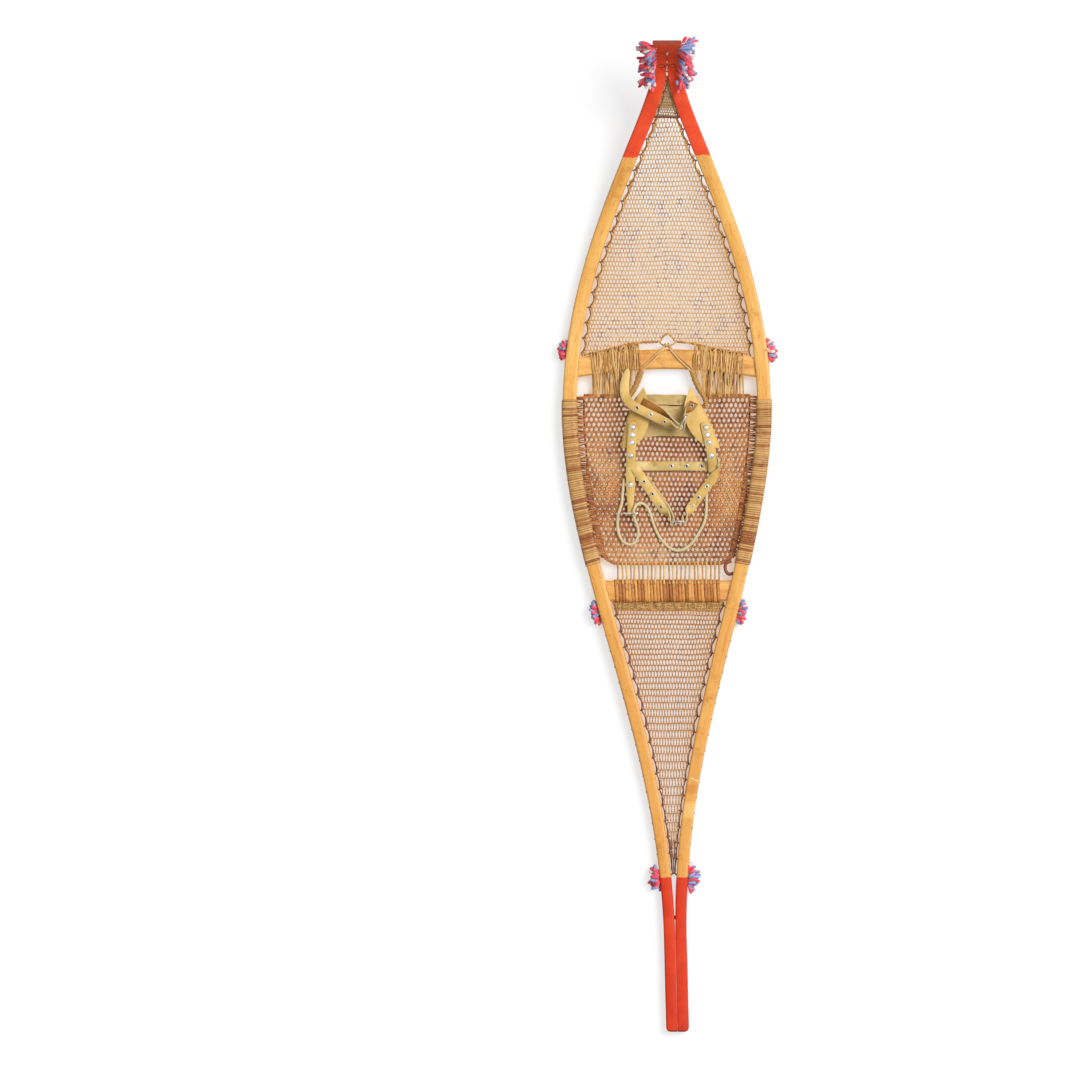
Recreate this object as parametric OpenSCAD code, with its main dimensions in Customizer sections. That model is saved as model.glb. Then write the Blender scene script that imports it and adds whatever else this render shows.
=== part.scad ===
// Traditional two-stave snowshoe with a pointed, upswept toe, hexagonal rawhide netting
// and a leather foot binding. Lengths are millimetres. +X is the right of the shoe, +Y its
// toe and +Z up. The origin is on the ground under the middle of the shoe.

/* [Frame] */
// Length of the shoe seen from above, tail to toe
shoe_length = 1446; // [1250:2:1700]
// Widest distance across the two staves
shoe_width = 304; // [260:1:350]
// Place of the widest point, ahead of the middle
widest_y = 185; // [150:1:215]
// Length over which the two tails lie side by side
tail_joint = 133; // [90:1:170]
// Length seen from above over which the two toe tips lie side by side
toe_joint = 33; // [28:1:45]
// Sideways bend of the tail
tail_sweep = 16; // [0:0.5:24]
// Width of a stave between the crossbars
stave_w = 20; // [18:0.5:23]
// Height of a stave between the crossbars
stave_h = 20; // [17:0.5:24]
// Width of a stave at the toe
tip_w = 21; // [18:0.5:24]
// Height of a stave at the toe
tip_h = 8; // [7:0.5:12]
// Width of a stave at the tail
tail_w = 16.5; // [14:0.5:19]
// Height of a stave at the tail
tail_h = 15; // [12:0.5:18]
// Chamfer along the long edges of a stave
stave_edge = 2.5; // [1.5:0.1:3]

/* [Toe sweep] */
// Radius of the long bend ahead of the front crossbar
sweep_r = 700; // [600:5:750]
// Angle that the long bend turns through
sweep_a = 28; // [22:0.5:30]
// Radius of the curl near the tip
curl_r = 85; // [75:1:95]
// Angle of the tip above the ground
tip_a = 75; // [68:0.5:78]
// Straight length of the tip after the curl
tip_len = 35; // [25:1:45]

/* [Crossbars] */
// Place of the front crossbar's ends, ahead of the middle
front_bar_y = 247; // [240:1:252]
// Forward bow of the front crossbar at its middle
front_bar_bow = 12; // [6:0.5:14]
// Width of the front crossbar
front_bar_w = 29; // [26:0.5:31]
// Place of the rear crossbar behind the middle
rear_bar_y = -79; // [-86:1:-74]
// Width of the rear crossbar
rear_bar_w = 30; // [26:0.5:31]
// Thickness of both crossbars
bar_t = 11; // [9:0.5:13]
// Chamfer along the long edges of a crossbar
bar_edge = 2.5; // [1.5:0.1:3]
// Depth of a tenon in its mortise
tenon_len = 11; // [8:0.5:13]
// Width of a tenon
tenon_w = 17; // [14:0.5:20]
// Thickness of a tenon
tenon_t = 7; // [5:0.5:8]

/* [Netting] */
// Thickness of the netting
net_t = 2.6; // [1.8:0.1:3.2]
// Width of a netting strand
strand_w = 3; // [2.2:0.1:3.6]
// Spacing of the centre net's gaps across the shoe
centre_pitch = 17; // [15:0.5:20]
// Spacing of the front net's gaps across the shoe
front_pitch = 16; // [14:0.5:19]
// Spacing of the tail net's gaps across the shoe
tail_pitch = 13; // [12:0.5:16]
// Spacing of the toe net's gaps across the shoe
toe_pitch = 9; // [8:0.5:11]
// Diameter of the selvage thong
selvage_d = 3; // [2.4:0.1:3.4]
// Reach of each selvage scallop from the stave
scallop_reach = 5; // [4:0.1:6]
// Length of a selvage scallop
scallop_len = 22; // [18:0.5:26]

/* [Windings] */
// Thickness of the rawhide lace
lace_t = 1.8; // [1.4:0.1:2.2]
// Clear gap between the turns of a winding
lace_gap = 0.7; // [0.6:0.1:1]
// Turns round each stave
stave_turns = 24; // [18:1:24]
// Front end of the stave windings
wrap_front_y = 202; // [196:1:206]
// Rear end of the stave windings
wrap_rear_y = -43; // [-46:1:-36]
// Turns on each half of the front crossbar
front_bar_turns = 9; // [7:1:11]
// Turns on the rear crossbar
rear_bar_turns = 20; // [16:1:22]
// Length of lace along each half of the front crossbar
front_wrap_len = 66; // [58:1:70]
// Length of lace along the rear crossbar
rear_wrap_len = 156; // [146:1:160]
// Turns of the toe lashing
lashing_turns = 3; // [2:1:4]
// Width of the toe lashing's thong
lashing_w = 2.6; // [2:0.1:3]

/* [Toe hole] */
// Radius of the toe cord that the binding turns on
toe_cord_r = 3.5; // [3:0.1:4]
// Place of the toe cord, ahead of the middle
toe_cord_y = 190; // [187:1:193]
// Diameter of each stay cord beside the toe hole
stay_d = 6; // [5:0.2:7]
// Half the width of the toe hole at the toe cord
toe_hole_half = 58; // [56:0.5:62]
// Half the width of the toe hole at the front crossbar
toe_hole_front = 38; // [36:0.5:42]

/* [Tufts] */
// Length of a side tuft
tuft_len = 16; // [12:0.5:20]
// Radius of a side tuft
tuft_r = 11; // [8:0.5:13]

/* [Binding] */
// Thickness of the toe piece's leather
leather_t = 2.4; // [2:0.1:2.8]
// Height of the folded flaps above the sole
flap_rise = 12; // [10:0.5:14]
// Width of the leather straps
strap_w = 13.5; // [12:0.5:15]
// Thickness of the leather straps
strap_t = 2.2; // [1.8:0.1:2.4]
// Radius of the buckle wire
wire_r = 1.2; // [1:0.1:1.4]
// Clear width inside a buckle
buckle_w = 17; // [15.6:0.2:20]
// Distance between a buckle's two bars
buckle_len = 18; // [16:0.5:20]
// Radius of a rivet's head
rivet_r = 4.2; // [3.5:0.1:5]
// Height of a rivet's head
rivet_h = 1.8; // [1.4:0.1:2.4]
// Radius of a strap's eyelet
eyelet_r = 3.2; // [2.6:0.1:3.8]
// Diameter of the heel thong
thong_d = 4.5; // [4:0.1:5]

/* [Fits] */
// Clearance between wound lace and wood, and between pieces that lie on each other
snug = 0.3; // [0.25:0.05:0.4]
// Clearance of a tenon in its mortise
fit = 0.15; // [0.1:0.05:0.3]
// Running clearance of a prong on its bar
run = 0.1; // [0.08:0.02:0.2]

/* [Hidden] */
$fn = 48;

left = -1;
right = 1;
wood = "#d9983f";
rawhide = "#c9ac7c";
dark_rawhide = "#7d5a33";
selvage_brown = "#4a2c20";
tan_leather = "#c98f45";
suede = "#8a7346";
nickel = "#b9b7b0";
yarn_red = "#c4384a";
yarn_blue = "#6f6fb0";
thong_beige = "#cdb89a";

// Levels and places shared by the pieces
half_len = shoe_length / 2;
lift = lace_t + snug;
mid_z = lift + stave_h / 2;
net_top = mid_z + net_t / 2;
bed_z = net_top + snug;
tail_close_y = tail_joint - half_len;
nose_y = half_len - toe_joint;
tip_start_y = half_len - tip_len * cos(tip_a);
curl_start_y = tip_start_y - curl_r * (sin(tip_a) - sin(sweep_a));
sweep_start_y = curl_start_y - sweep_r * sin(sweep_a);
sweep_rise = sweep_r * (1 - cos(sweep_a));
curl_rise = sweep_rise + curl_r * (cos(sweep_a) - cos(tip_a));

// Small vector and blending helpers
function unit(v) = v / norm(v);
function mix(a, b, t) = a + (b - a) * t;
function clamp01(t) = min(1, max(0, t));
function ease(t) = let (c = clamp01(t)) c * c * (3 - 2 * c);

// Side view of the frame: slope and height of a stave's underside at y
function slope(y) =
    y <= sweep_start_y ? 0
    : y <= curl_start_y ? asin((y - sweep_start_y) / sweep_r)
    : y <= tip_start_y ? asin(min(1, sin(sweep_a) + (y - curl_start_y) / curl_r))
    : tip_a;
function rise(y) =
    y <= sweep_start_y ? 0
    : y <= curl_start_y ? sweep_r * (1 - cos(slope(y)))
    : y <= tip_start_y ? sweep_rise + curl_r * (cos(sweep_a) - cos(slope(y)))
    : curl_rise + (y - tip_start_y) * tan(tip_a);

// Plan of the frame: section sizes, outer half width and middle line at y
function stave_width(y) =
    y > front_bar_y
    ? mix(stave_w, tip_w, ease((y - front_bar_y) / (nose_y - front_bar_y)))
    : mix(stave_w, tail_w, ease((rear_bar_y - y) / (rear_bar_y - tail_close_y)));
function stave_height(y) =
    y > front_bar_y
    ? mix(stave_h, tip_h, ease((y - front_bar_y) / (nose_y - front_bar_y)))
    : mix(stave_h, tail_h, ease((rear_bar_y - y) / (rear_bar_y - tail_close_y)));
seam = snug;
toe_half = tip_w + seam / 2;
tail_half = tail_w + seam / 2;
wide_half = shoe_width / 2;
toe_flare = sqrt(wide_half * wide_half - toe_half * toe_half);
tail_power = 0.9;
function half_width(y) =
    y >= nose_y ? toe_half
    : y > widest_y
    ? norm([toe_half, toe_flare * sin(90 * (nose_y - y) / (nose_y - widest_y))])
    : let (t = clamp01((widest_y - y) / (widest_y - tail_close_y)))
      tail_half + (wide_half - tail_half) * (1 + cos(180 * pow(t, tail_power))) / 2;
function half_slope(y) = (half_width(y + 1) - half_width(y - 1)) / 2;
bend_start_y = 80;
bend_power = 1.3;
function axis_x(y) =
    tail_sweep * pow(clamp01((bend_start_y - y) / (bend_start_y + half_len)), bend_power);
function stave_x(side, y) =
    axis_x(y) + side * (half_width(y) - stave_width(y) / 2 * norm([1, half_slope(y)]));
function stave_dx(side, y) = (stave_x(side, y + 1) - stave_x(side, y - 1)) / 2;

// A point of a stave: u across it towards +X, v up from its underside
function stave_point(side, y, u, v) =
    let (a = slope(y), dx = stave_dx(side, y))
    [stave_x(side, y), y, lift + rise(y)]
    + u * unit([1, -dx * cos(a) * cos(a), -dx * cos(a) * sin(a)])
    + v * [0, -sin(a), cos(a)];

// X of a line that runs inside a stave, gap away from its inner face
function inside_x(side, y, gap) =
    stave_x(side, y) - side * (stave_width(y) / 2 + gap) * norm([1, stave_dx(side, y)]);

// Corners of a chamfered rectangle, grown outwards by d
chamfer_growth = 2 - sqrt(2);
function chamfered(w, h, edge, d = 0) =
    let (a = w / 2 + d, b = h / 2 + d, c = edge + d * chamfer_growth)
    [[a, c - b], [a, b - c], [a - c, b], [c - a, b], [-a, b - c], [-a, c - b], [c - a, -b], [a - c, -b]];

// Closed solid through rings that have equal numbers of points
module skin(rings) {
    n = len(rings[0]);
    m = len(rings);
    polyhedron(
        points = [for (ring = rings) each ring],
        faces = concat(
            [for (i = [1 : n - 2]) [0, i + 1, i]],
            [for (j = [0 : m - 2], i = [0 : n - 1], half = [0, 1])
                let (a = j * n + i, b = j * n + (i + 1) % n)
                half == 0 ? [a, b, b + n] : [a, b + n, a + n]],
            [for (i = [1 : n - 2]) [(m - 1) * n, (m - 1) * n + i, (m - 1) * n + i + 1]]
        )
    );
}

// Direction of a route at point i
function heading_of(points, i) =
    unit(points[min(i + 1, len(points) - 1)] - points[max(i - 1, 0)]);

// Rings of a round cord along points
function cord_rings(points, r, sides) =
    [for (i = [0 : len(points) - 1])
        let (
            t = heading_of(points, i),
            across = unit(cross(t, [0, 0, 1])),
            up = cross(across, t)
        )
        [for (k = [0 : sides - 1])
            points[i] + r * (cos(360 * k / sides) * across + sin(360 * k / sides) * up)]];

// Stops of a strap are [x, y, z, direction of its width, roll on edge, width]; the last two are
// left out where it lies flat and has its full width
function full_stop(s) =
    [s[0], s[1], s[2], s[3], is_undef(s[4]) ? 0 : s[4], is_undef(s[5]) ? strap_w : s[5]];
// Stops with more of them where a strap twists
twist_step = 10;
function fine_stops(stops) =
    concat(
        [for (i = [0 : len(stops) - 2])
            let (
                a = full_stop(stops[i]),
                b = full_stop(stops[i + 1]),
                n = max(1, ceil(abs(b[4] - a[4]) / twist_step))
            )
            for (k = [0 : n - 1]) mix(a, b, k / n)],
        [full_stop(stops[len(stops) - 1])]);
// Rings of a strap along its stops
function strap_rings(stops) =
    let (fine = fine_stops(stops), points = [for (s = fine) [s[0], s[1], s[2]]])
    [for (i = [0 : len(fine) - 1])
        let (
            ahead = heading_of(points, i),
            roll = fine[i][4],
            width_dir = cos(roll) * [cos(fine[i][3]), sin(fine[i][3]), 0] + [0, 0, sin(roll)],
            across = roll > 0 ? width_dir : unit(width_dir - (width_dir * ahead) * ahead),
            up = unit(cross(across, ahead))
        )
        [for (q = [[-1, -1], [1, -1], [1, 1], [-1, 1]])
            points[i] + q[0] * fine[i][5] / 2 * across + q[1] * strap_t / 2 * up]];

// Solid sheet of thickness t over a grid of points on its middle surface
module sheet(grid, t) {
    n = len(grid[0]);
    m = len(grid);
    function normal(i, j) = unit(cross(
        grid[i][min(j + 1, n - 1)] - grid[i][max(j - 1, 0)],
        grid[min(i + 1, m - 1)][j] - grid[max(i - 1, 0)][j]));
    faces_of = [for (i = [0 : m - 2], j = [0 : n - 2], half = [0, 1])
        let (a = i * n + j)
        half == 0 ? [a, a + 1, a + n + 1] : [a, a + n + 1, a + n]];
    rim = concat(
        [for (j = [0 : n - 2]) j],
        [for (i = [0 : m - 2]) i * n + n - 1],
        [for (j = [n - 1 : -1 : 1]) (m - 1) * n + j],
        [for (i = [m - 1 : -1 : 1]) i * n]);
    polyhedron(
        points = concat(
            [for (i = [0 : m - 1], j = [0 : n - 1]) grid[i][j] - normal(i, j) * t / 2],
            [for (i = [0 : m - 1], j = [0 : n - 1]) grid[i][j] + normal(i, j) * t / 2]),
        faces = concat(
            faces_of,
            [for (f = faces_of) [f[0] + m * n, f[2] + m * n, f[1] + m * n]],
            [for (k = [0 : len(rim) - 1], half = [0, 1])
                let (a = rim[k], b = rim[(k + 1) % len(rim)])
                half == 0 ? [a, a + m * n, b + m * n] : [a, b + m * n, b]])
    );
}

// Rings of a lace wound round a chamfered section, eight to a turn
steps = 8;
function wound_rings(turns, place) =
    [for (k = [0 : turns * steps])
        [for (q = [[-1, 0], [1, 0], [1, 1], [-1, 1]]) place(k, q[0], q[1])]];
function flipped(rings) = [for (ring = rings) [for (i = [len(ring) - 1 : -1 : 0]) ring[i]]];
function turn_gap(rings) =
    min([for (k = [0 : len(rings) - 1 - steps])
        min(norm(rings[k][0] - rings[k + steps][1]), norm(rings[k][1] - rings[k + steps][0]))]);

// Frame

stave_step = 30;
bend_steps = 13;
curl_steps = 7;
stave_stations = concat(
    [for (i = [0 : floor((sweep_start_y + half_len) / stave_step) - 1])
        mix(-half_len, sweep_start_y, i / floor((sweep_start_y + half_len) / stave_step))],
    [for (i = [0 : bend_steps - 1]) sweep_start_y + sweep_r * sin(sweep_a * i / bend_steps)],
    [for (i = [0 : curl_steps])
        curl_start_y + curl_r * (sin(mix(sweep_a, tip_a, i / curl_steps)) - sin(sweep_a))],
    [half_len]
);

// Y of each crossbar's middle line at x, and its shoulders
front_reach = abs(inside_x(right, front_bar_y, 0));
function front_bar_line(x) = front_bar_y + front_bar_bow * (1 - pow(x / front_reach, 2));
function rear_bar_line(x) = rear_bar_y;
function shoulder_x(side, y) = inside_x(side, y, snug);
function tenon_x(side, bar_y) = inside_x(side, bar_y, -tenon_len);

module mortise(side, bar_y) {
    near_x = inside_x(side, bar_y, tenon_w / 2);
    far_x = tenon_x(side, bar_y) + side * fit;
    translate([(near_x + far_x) / 2, bar_y, mid_z])
        cube([abs(far_x - near_x), tenon_w + 2 * fit, tenon_t + 2 * fit], center = true);
}

tail_peg_y = tail_close_y + 34;
tail_peg_r = 1.6;
tail_peg_depth = 7;
module tail_peg(r, extra) {
    reach = tail_peg_depth + extra;
    low_x = inside_x(left, tail_peg_y, -reach);
    high_x = inside_x(right, tail_peg_y, -reach);
    translate([low_x, tail_peg_y, lift + tail_h / 2])
        rotate([0, 90, 0])
            cylinder(h = high_x - low_x, r = r);
}

module stave(side) {
    color(wood)
        difference() {
            skin([for (y = stave_stations)
                let (h = stave_height(y))
                [for (p = chamfered(stave_width(y), h, stave_edge))
                    stave_point(side, y, p[0], h / 2 + p[1])]]);
            mortise(side, front_bar_y);
            mortise(side, rear_bar_y);
            tail_peg(tail_peg_r + fit, fit);
        }
}
module left_stave() { stave(left); }
module right_stave() { stave(right); }

// A crossbar with a tenon at each end, its shoulders cut to the staves' inner faces
bar_stations = 10;
module crossbar(bar_y, w, line) {
    section = chamfered(w, bar_t, bar_edge);
    tenon = chamfered(tenon_w, tenon_t, fit);
    function end_ring(side, shape) =
        [for (p = shape) [shoulder_x(side, bar_y + p[0]), bar_y + p[0], mid_z + p[1]]];
    function tip_ring(side) =
        [for (p = tenon) [tenon_x(side, bar_y), bar_y + p[0], mid_z + p[1]]];
    low_x = max(shoulder_x(left, bar_y - w / 2), shoulder_x(left, bar_y + w / 2)) + w / 4;
    high_x = min(shoulder_x(right, bar_y - w / 2), shoulder_x(right, bar_y + w / 2)) - w / 4;
    color(wood)
        skin(flipped(concat(
            [tip_ring(left), end_ring(left, tenon), end_ring(left, section)],
            [for (i = [0 : bar_stations])
                let (x = mix(low_x, high_x, i / bar_stations))
                [for (p = section) [x, line(x) + p[0], mid_z + p[1]]]],
            [end_ring(right, section), end_ring(right, tenon), tip_ring(right)])));
}
module front_crossbar() { crossbar(front_bar_y, front_bar_w, function (x) front_bar_line(x)); }
module rear_crossbar() { crossbar(rear_bar_y, rear_bar_w, function (x) rear_bar_line(x)); }

// Thong wound round both toe tips
lashing_t = 1.4;
lashing_y = nose_y - 4;
lashing_rings = wound_rings(lashing_turns, function (k, e, layer)
    let (
        y = lashing_y + ((k / steps - lashing_turns / 2) * (lashing_w + lace_gap)
            + e * lashing_w / 2) * cos(slope(lashing_y)),
        h = stave_height(y),
        a = slope(y),
        p = chamfered(2 * half_width(y), h, stave_edge, snug + layer * lashing_t)[k % steps]
    )
    [p[0], y, lift + rise(y)] + (h / 2 + p[1]) * [0, -sin(a), cos(a)]);
echo(str("toe_lashing least gap ", turn_gap(lashing_rings)));
module toe_lashing() { color(selvage_brown) skin(lashing_rings); }
module tail_lashing() { color(selvage_brown) tail_peg(tail_peg_r, 0); }

// Twisted cord that holds the toe open
spreader_y = nose_y - 76;
spreader_r = 2.2;
module toe_spreader() {
    h = stave_height(spreader_y);
    middle = stave_point(right, spreader_y, 0, h / 2);
    reach = inside_x(right, spreader_y + spreader_r, snug);
    color(selvage_brown)
        translate([-reach, middle[1], middle[2]])
            rotate([0, 90, 0])
                cylinder(h = 2 * reach, r = spreader_r);
}

// Netting

net_border = 2.2;
gap_aspect = 0.9;
function row_pitch(pitch) = pitch * gap_aspect;
module net_gap(pitch) {
    a = pitch / 2 - strand_w / 2;
    b = row_pitch(pitch) / 1.5 - strand_w * 0.6;
    polygon([[0, b], [a, b / 2], [a, -b / 2], [0, -b], [-a, -b / 2], [-a, b / 2]]);
}

// Gaps of a net in staggered rows where inside(x, y) holds at every corner of a gap
module net_gaps(pitch, low_y, high_y, reach_x, inside) {
    rows = floor((high_y - low_y) / row_pitch(pitch));
    cols = ceil(reach_x / pitch);
    a = pitch / 2 - strand_w / 2 + net_border;
    b = row_pitch(pitch) / 1.5 - strand_w * 0.6 + net_border;
    for (row = [0 : rows], col = [-cols : cols]) {
        y = low_y + (row + 0.5) * row_pitch(pitch);
        x = axis_x(y) + (col + (row % 2) / 2) * pitch;
        if (inside(x, y + b) && inside(x, y - b)
            && inside(x - a, y + b / 2) && inside(x + a, y + b / 2)
            && inside(x - a, y - b / 2) && inside(x + a, y - b / 2))
            translate([x, y])
                net_gap(pitch);
    }
}

// Distance from a stave's inner face to the edge of a laced net
laced_gap = scallop_reach + selvage_d + 3 * snug;
edge_steps = 14;
function laced_edge(side, low_y, high_y) =
    [for (i = [0 : edge_steps])
        let (y = mix(low_y, high_y, i / edge_steps))
        [inside_x(side, y, laced_gap), y]];
function reversed(list) = [for (i = [len(list) - 1 : -1 : 0]) list[i]];

// Sheet that follows the side view of the frame at half the staves' height
slab_steps = 16;
module bent_slab(low_y, high_y) {
    function edge_point(y, off) =
        let (a = slope(y), v = stave_height(y) / 2 + off)
        [y - sin(a) * v, lift + rise(y) + cos(a) * v];
    stations = [for (i = [0 : slab_steps]) mix(low_y, high_y, i / slab_steps)];
    translate([-shoe_width / 2, 0, 0])
        rotate([90, 0, 90])
            linear_extrude(shoe_width)
                polygon(concat(
                    [for (y = stations) edge_point(y, -net_t / 2)],
                    [for (y = reversed(stations)) edge_point(y, net_t / 2)]));
}

// Front net, from the front crossbar's lace to the toe spreader
front_net_low = front_bar_y + front_bar_w / 2 + lace_t + 2 * snug;
front_net_high = spreader_y - spreader_r - net_border;
front_net_rim = 6;
function front_net_floor(x) =
    front_bar_line(x) + front_bar_w / 2 + lace_t + 2 * snug;
function front_net_inside(x, y) =
    x > inside_x(left, y, laced_gap) && x < inside_x(right, y, laced_gap)
    && y > front_net_floor(x) + front_net_rim && y < front_net_high;
module front_net_plan() {
    low = front_net_low + 1;
    difference() {
        polygon(concat(
            laced_edge(right, low, front_net_high),
            reversed(laced_edge(left, low, front_net_high)),
            [for (i = [0 : edge_steps])
                let (x = mix(inside_x(left, low, laced_gap), inside_x(right, low, laced_gap),
                    (i + 0.5) / (edge_steps + 1)))
                [x, front_net_floor(x)]]));
        net_gaps(front_pitch, front_net_low, front_net_high, wide_half,
            function (x, y) front_net_inside(x, y));
    }
}
module front_net() {
    color(rawhide)
        intersection() {
            linear_extrude(half_len)
                front_net_plan();
            bent_slab(front_net_low - stave_h, spreader_y + stave_h);
        }
}

// Fine net between the toe spreader and the toe tips
toe_net_low = spreader_y + spreader_r + net_border;
toe_net_high = nose_y - 24;
function toe_net_x(side, y) = inside_x(side, y, 3 * snug);
function toe_net_edge(side) =
    [for (i = [0 : edge_steps])
        let (y = mix(toe_net_low, toe_net_high, i / edge_steps))
        [toe_net_x(side, y), y]];
function toe_net_inside(x, y) =
    x > toe_net_x(left, y) && x < toe_net_x(right, y) && y > toe_net_low && y < toe_net_high;
module toe_net_plan() {
    difference() {
        polygon(concat(toe_net_edge(right), reversed(toe_net_edge(left))));
        net_gaps(toe_pitch, toe_net_low, toe_net_high, wide_half / 2,
            function (x, y) toe_net_inside(x, y));
    }
}
module toe_net() {
    color(rawhide)
        intersection() {
            linear_extrude(half_len)
                toe_net_plan();
            bent_slab(spreader_y - stave_h, nose_y);
        }
}

// Centre net, from behind the toe cord to the rear crossbar's lace
wound_gap = lace_t + 2 * snug;
tie_t = 1.6;
centre_net_high = toe_cord_y - toe_cord_r - tie_t - 3 * snug;
centre_net_low = rear_bar_y + rear_bar_w / 2 + wound_gap;
fringe_len = 17;
fringe_pitch = 9;
tie_w = 6;
tie_x = 26;
tie_swing = norm([toe_cord_r + 2 * snug + tie_t, toe_cord_r + snug + tie_t]) + snug;
function centre_edge(side) =
    [for (i = [0 : edge_steps])
        let (y = mix(wrap_rear_y, centre_net_high, i / edge_steps))
        [inside_x(side, y, wound_gap), y]];
function centre_net_inside(x, y) =
    x > inside_x(left, y, wound_gap) && x < inside_x(right, y, wound_gap)
    && y > centre_net_low + fringe_len + strand_w && y < toe_cord_y - tie_swing;
fringe_half = rear_wrap_len / 2;
module tie_notch(side) {
    notch_w = 2 * tie_w + 2;
    translate([side * tie_x - notch_w / 2, toe_cord_y - tie_swing])
        square([notch_w, tie_swing]);
}
module centre_net() {
    color(dark_rawhide)
        translate([0, 0, mid_z - net_t / 2])
            linear_extrude(net_t)
                difference() {
                    polygon(concat(
                        centre_edge(right),
                        reversed(centre_edge(left)),
                        [[axis_x(rear_bar_y) - fringe_half, centre_net_low],
                        [axis_x(rear_bar_y) + fringe_half, centre_net_low]]));
                    net_gaps(centre_pitch, centre_net_low + fringe_len, centre_net_high, wide_half,
                        function (x, y) centre_net_inside(x, y));
                    tie_notch(left);
                    tie_notch(right);
                    for (x = [-fringe_half + fringe_pitch : fringe_pitch : fringe_half - fringe_pitch])
                        translate([axis_x(rear_bar_y) + x, centre_net_low + fringe_len / 2])
                            square([fringe_pitch - strand_w, fringe_len - 2 * strand_w], center = true);
                }
}

// Plan of a stay cord behind the front crossbar, as [half width, y] down to the toe cord
stay_end_x = toe_hole_half - 1;
stay_rear_y = front_bar_line(toe_hole_front) - front_bar_w / 2;
stay_plan = [
    [toe_hole_front, stay_rear_y - stay_d],
    [mix(toe_hole_front, stay_end_x, 0.45), mix(stay_rear_y, toe_cord_y, 0.4)],
    [mix(toe_hole_front, stay_end_x, 0.85), mix(stay_rear_y, toe_cord_y, 0.68)],
    [stay_end_x, toe_cord_y + toe_cord_r + 3],
    [stay_end_x, toe_cord_y - toe_cord_r]
];

// Net beside the toe hole, from the stave winding up to the front crossbar's lace
shoulder_low = centre_net_high + 2 * snug;
front_wrap_start = toe_hole_front + stay_d / 2 + 2;
shoulder_top_inner = front_wrap_start + 7;
shoulder_top_outer = front_wrap_start + front_wrap_len - 4;
function shoulder_top(x) = front_bar_line(x) - front_bar_w / 2 - wound_gap;
shoulder_pitch = 10;
shoulder_clear = 0.65 * stay_d + snug;
module shoulder_net(side) {
    corner_x = abs(inside_x(side, wrap_front_y, wound_gap));
    base_x = abs(inside_x(side, shoulder_low, wound_gap));
    top_y = min(shoulder_top(shoulder_top_inner), shoulder_top(shoulder_top_outer));
    low_slot = shoulder_low + strand_w;
    color(dark_rawhide)
        translate([0, 0, mid_z - net_t / 2])
            linear_extrude(net_t)
                difference() {
                    polygon(concat(
                        [[side * (stay_end_x + shoulder_clear), shoulder_low],
                        [side * base_x, shoulder_low],
                        [side * corner_x, wrap_front_y],
                        [side * shoulder_top_outer, shoulder_top(shoulder_top_outer)],
                        [side * shoulder_top_inner, shoulder_top(shoulder_top_inner)]],
                        [for (i = [0 : 3])
                            [side * (stay_plan[i][0] + shoulder_clear), stay_plan[i][1]]]));
                    for (i = [0 : 3])
                        let (
                            x = side * (stay_end_x + shoulder_clear + strand_w + shoulder_pitch * (i + 0.5)),
                            slot_w = shoulder_pitch - strand_w
                        )
                        translate([x - slot_w / 2, low_slot])
                            square([slot_w, top_y - strand_w - low_slot]);
                }
}
module left_shoulder_net() { shoulder_net(left); }
module right_shoulder_net() { shoulder_net(right); }

// Tail net, from the rear crossbar's lace towards the tail
tail_net_high = rear_bar_y - rear_bar_w / 2 - wound_gap;
tail_net_low = tail_close_y + 155;
function tail_net_inside(x, y) =
    x > inside_x(left, y, laced_gap) && x < inside_x(right, y, laced_gap)
    && y > tail_net_low && y < tail_net_high;
module tail_net() {
    color(rawhide)
        translate([0, 0, mid_z - net_t / 2])
            linear_extrude(net_t)
                difference() {
                    polygon(concat(
                        laced_edge(right, tail_net_low, tail_net_high),
                        reversed(laced_edge(left, tail_net_low, tail_net_high))));
                    net_gaps(tail_pitch, tail_net_low, tail_net_high, wide_half,
                        function (x, y) tail_net_inside(x, y));
                }
}

// Selvage thong that hangs a net from a stave in scallops
selvage_sides = 5;
scallop_steps = 3;
module selvage(side, low_y, high_y) {
    count = floor((high_y - low_y) / scallop_len);
    points = [for (k = [0 : count * scallop_steps])
        let (
            y = mix(low_y, high_y, k / (count * scallop_steps)),
            reach = scallop_reach * pow(sin(180 * k / scallop_steps), 2) / pow(sin(60), 2),
            u = stave_width(y) / 2 + snug + selvage_d / 2 + reach
        )
        stave_point(side, y, -side * u, stave_height(y) / 2)];
    color(selvage_brown)
        skin(cord_rings(points, selvage_d / 2, selvage_sides));
}
selvage_end = 6;
module front_selvage(side) {
    selvage(side, front_bar_y + front_bar_w / 2 + selvage_end, spreader_y - selvage_end);
}
module tail_selvage(side) {
    selvage(side, tail_net_low + selvage_end, rear_bar_y - rear_bar_w / 2 - selvage_end);
}
module front_selvage_left() { front_selvage(left); }
module front_selvage_right() { front_selvage(right); }
module tail_selvage_left() { tail_selvage(left); }
module tail_selvage_right() { tail_selvage(right); }

// Windings

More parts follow.
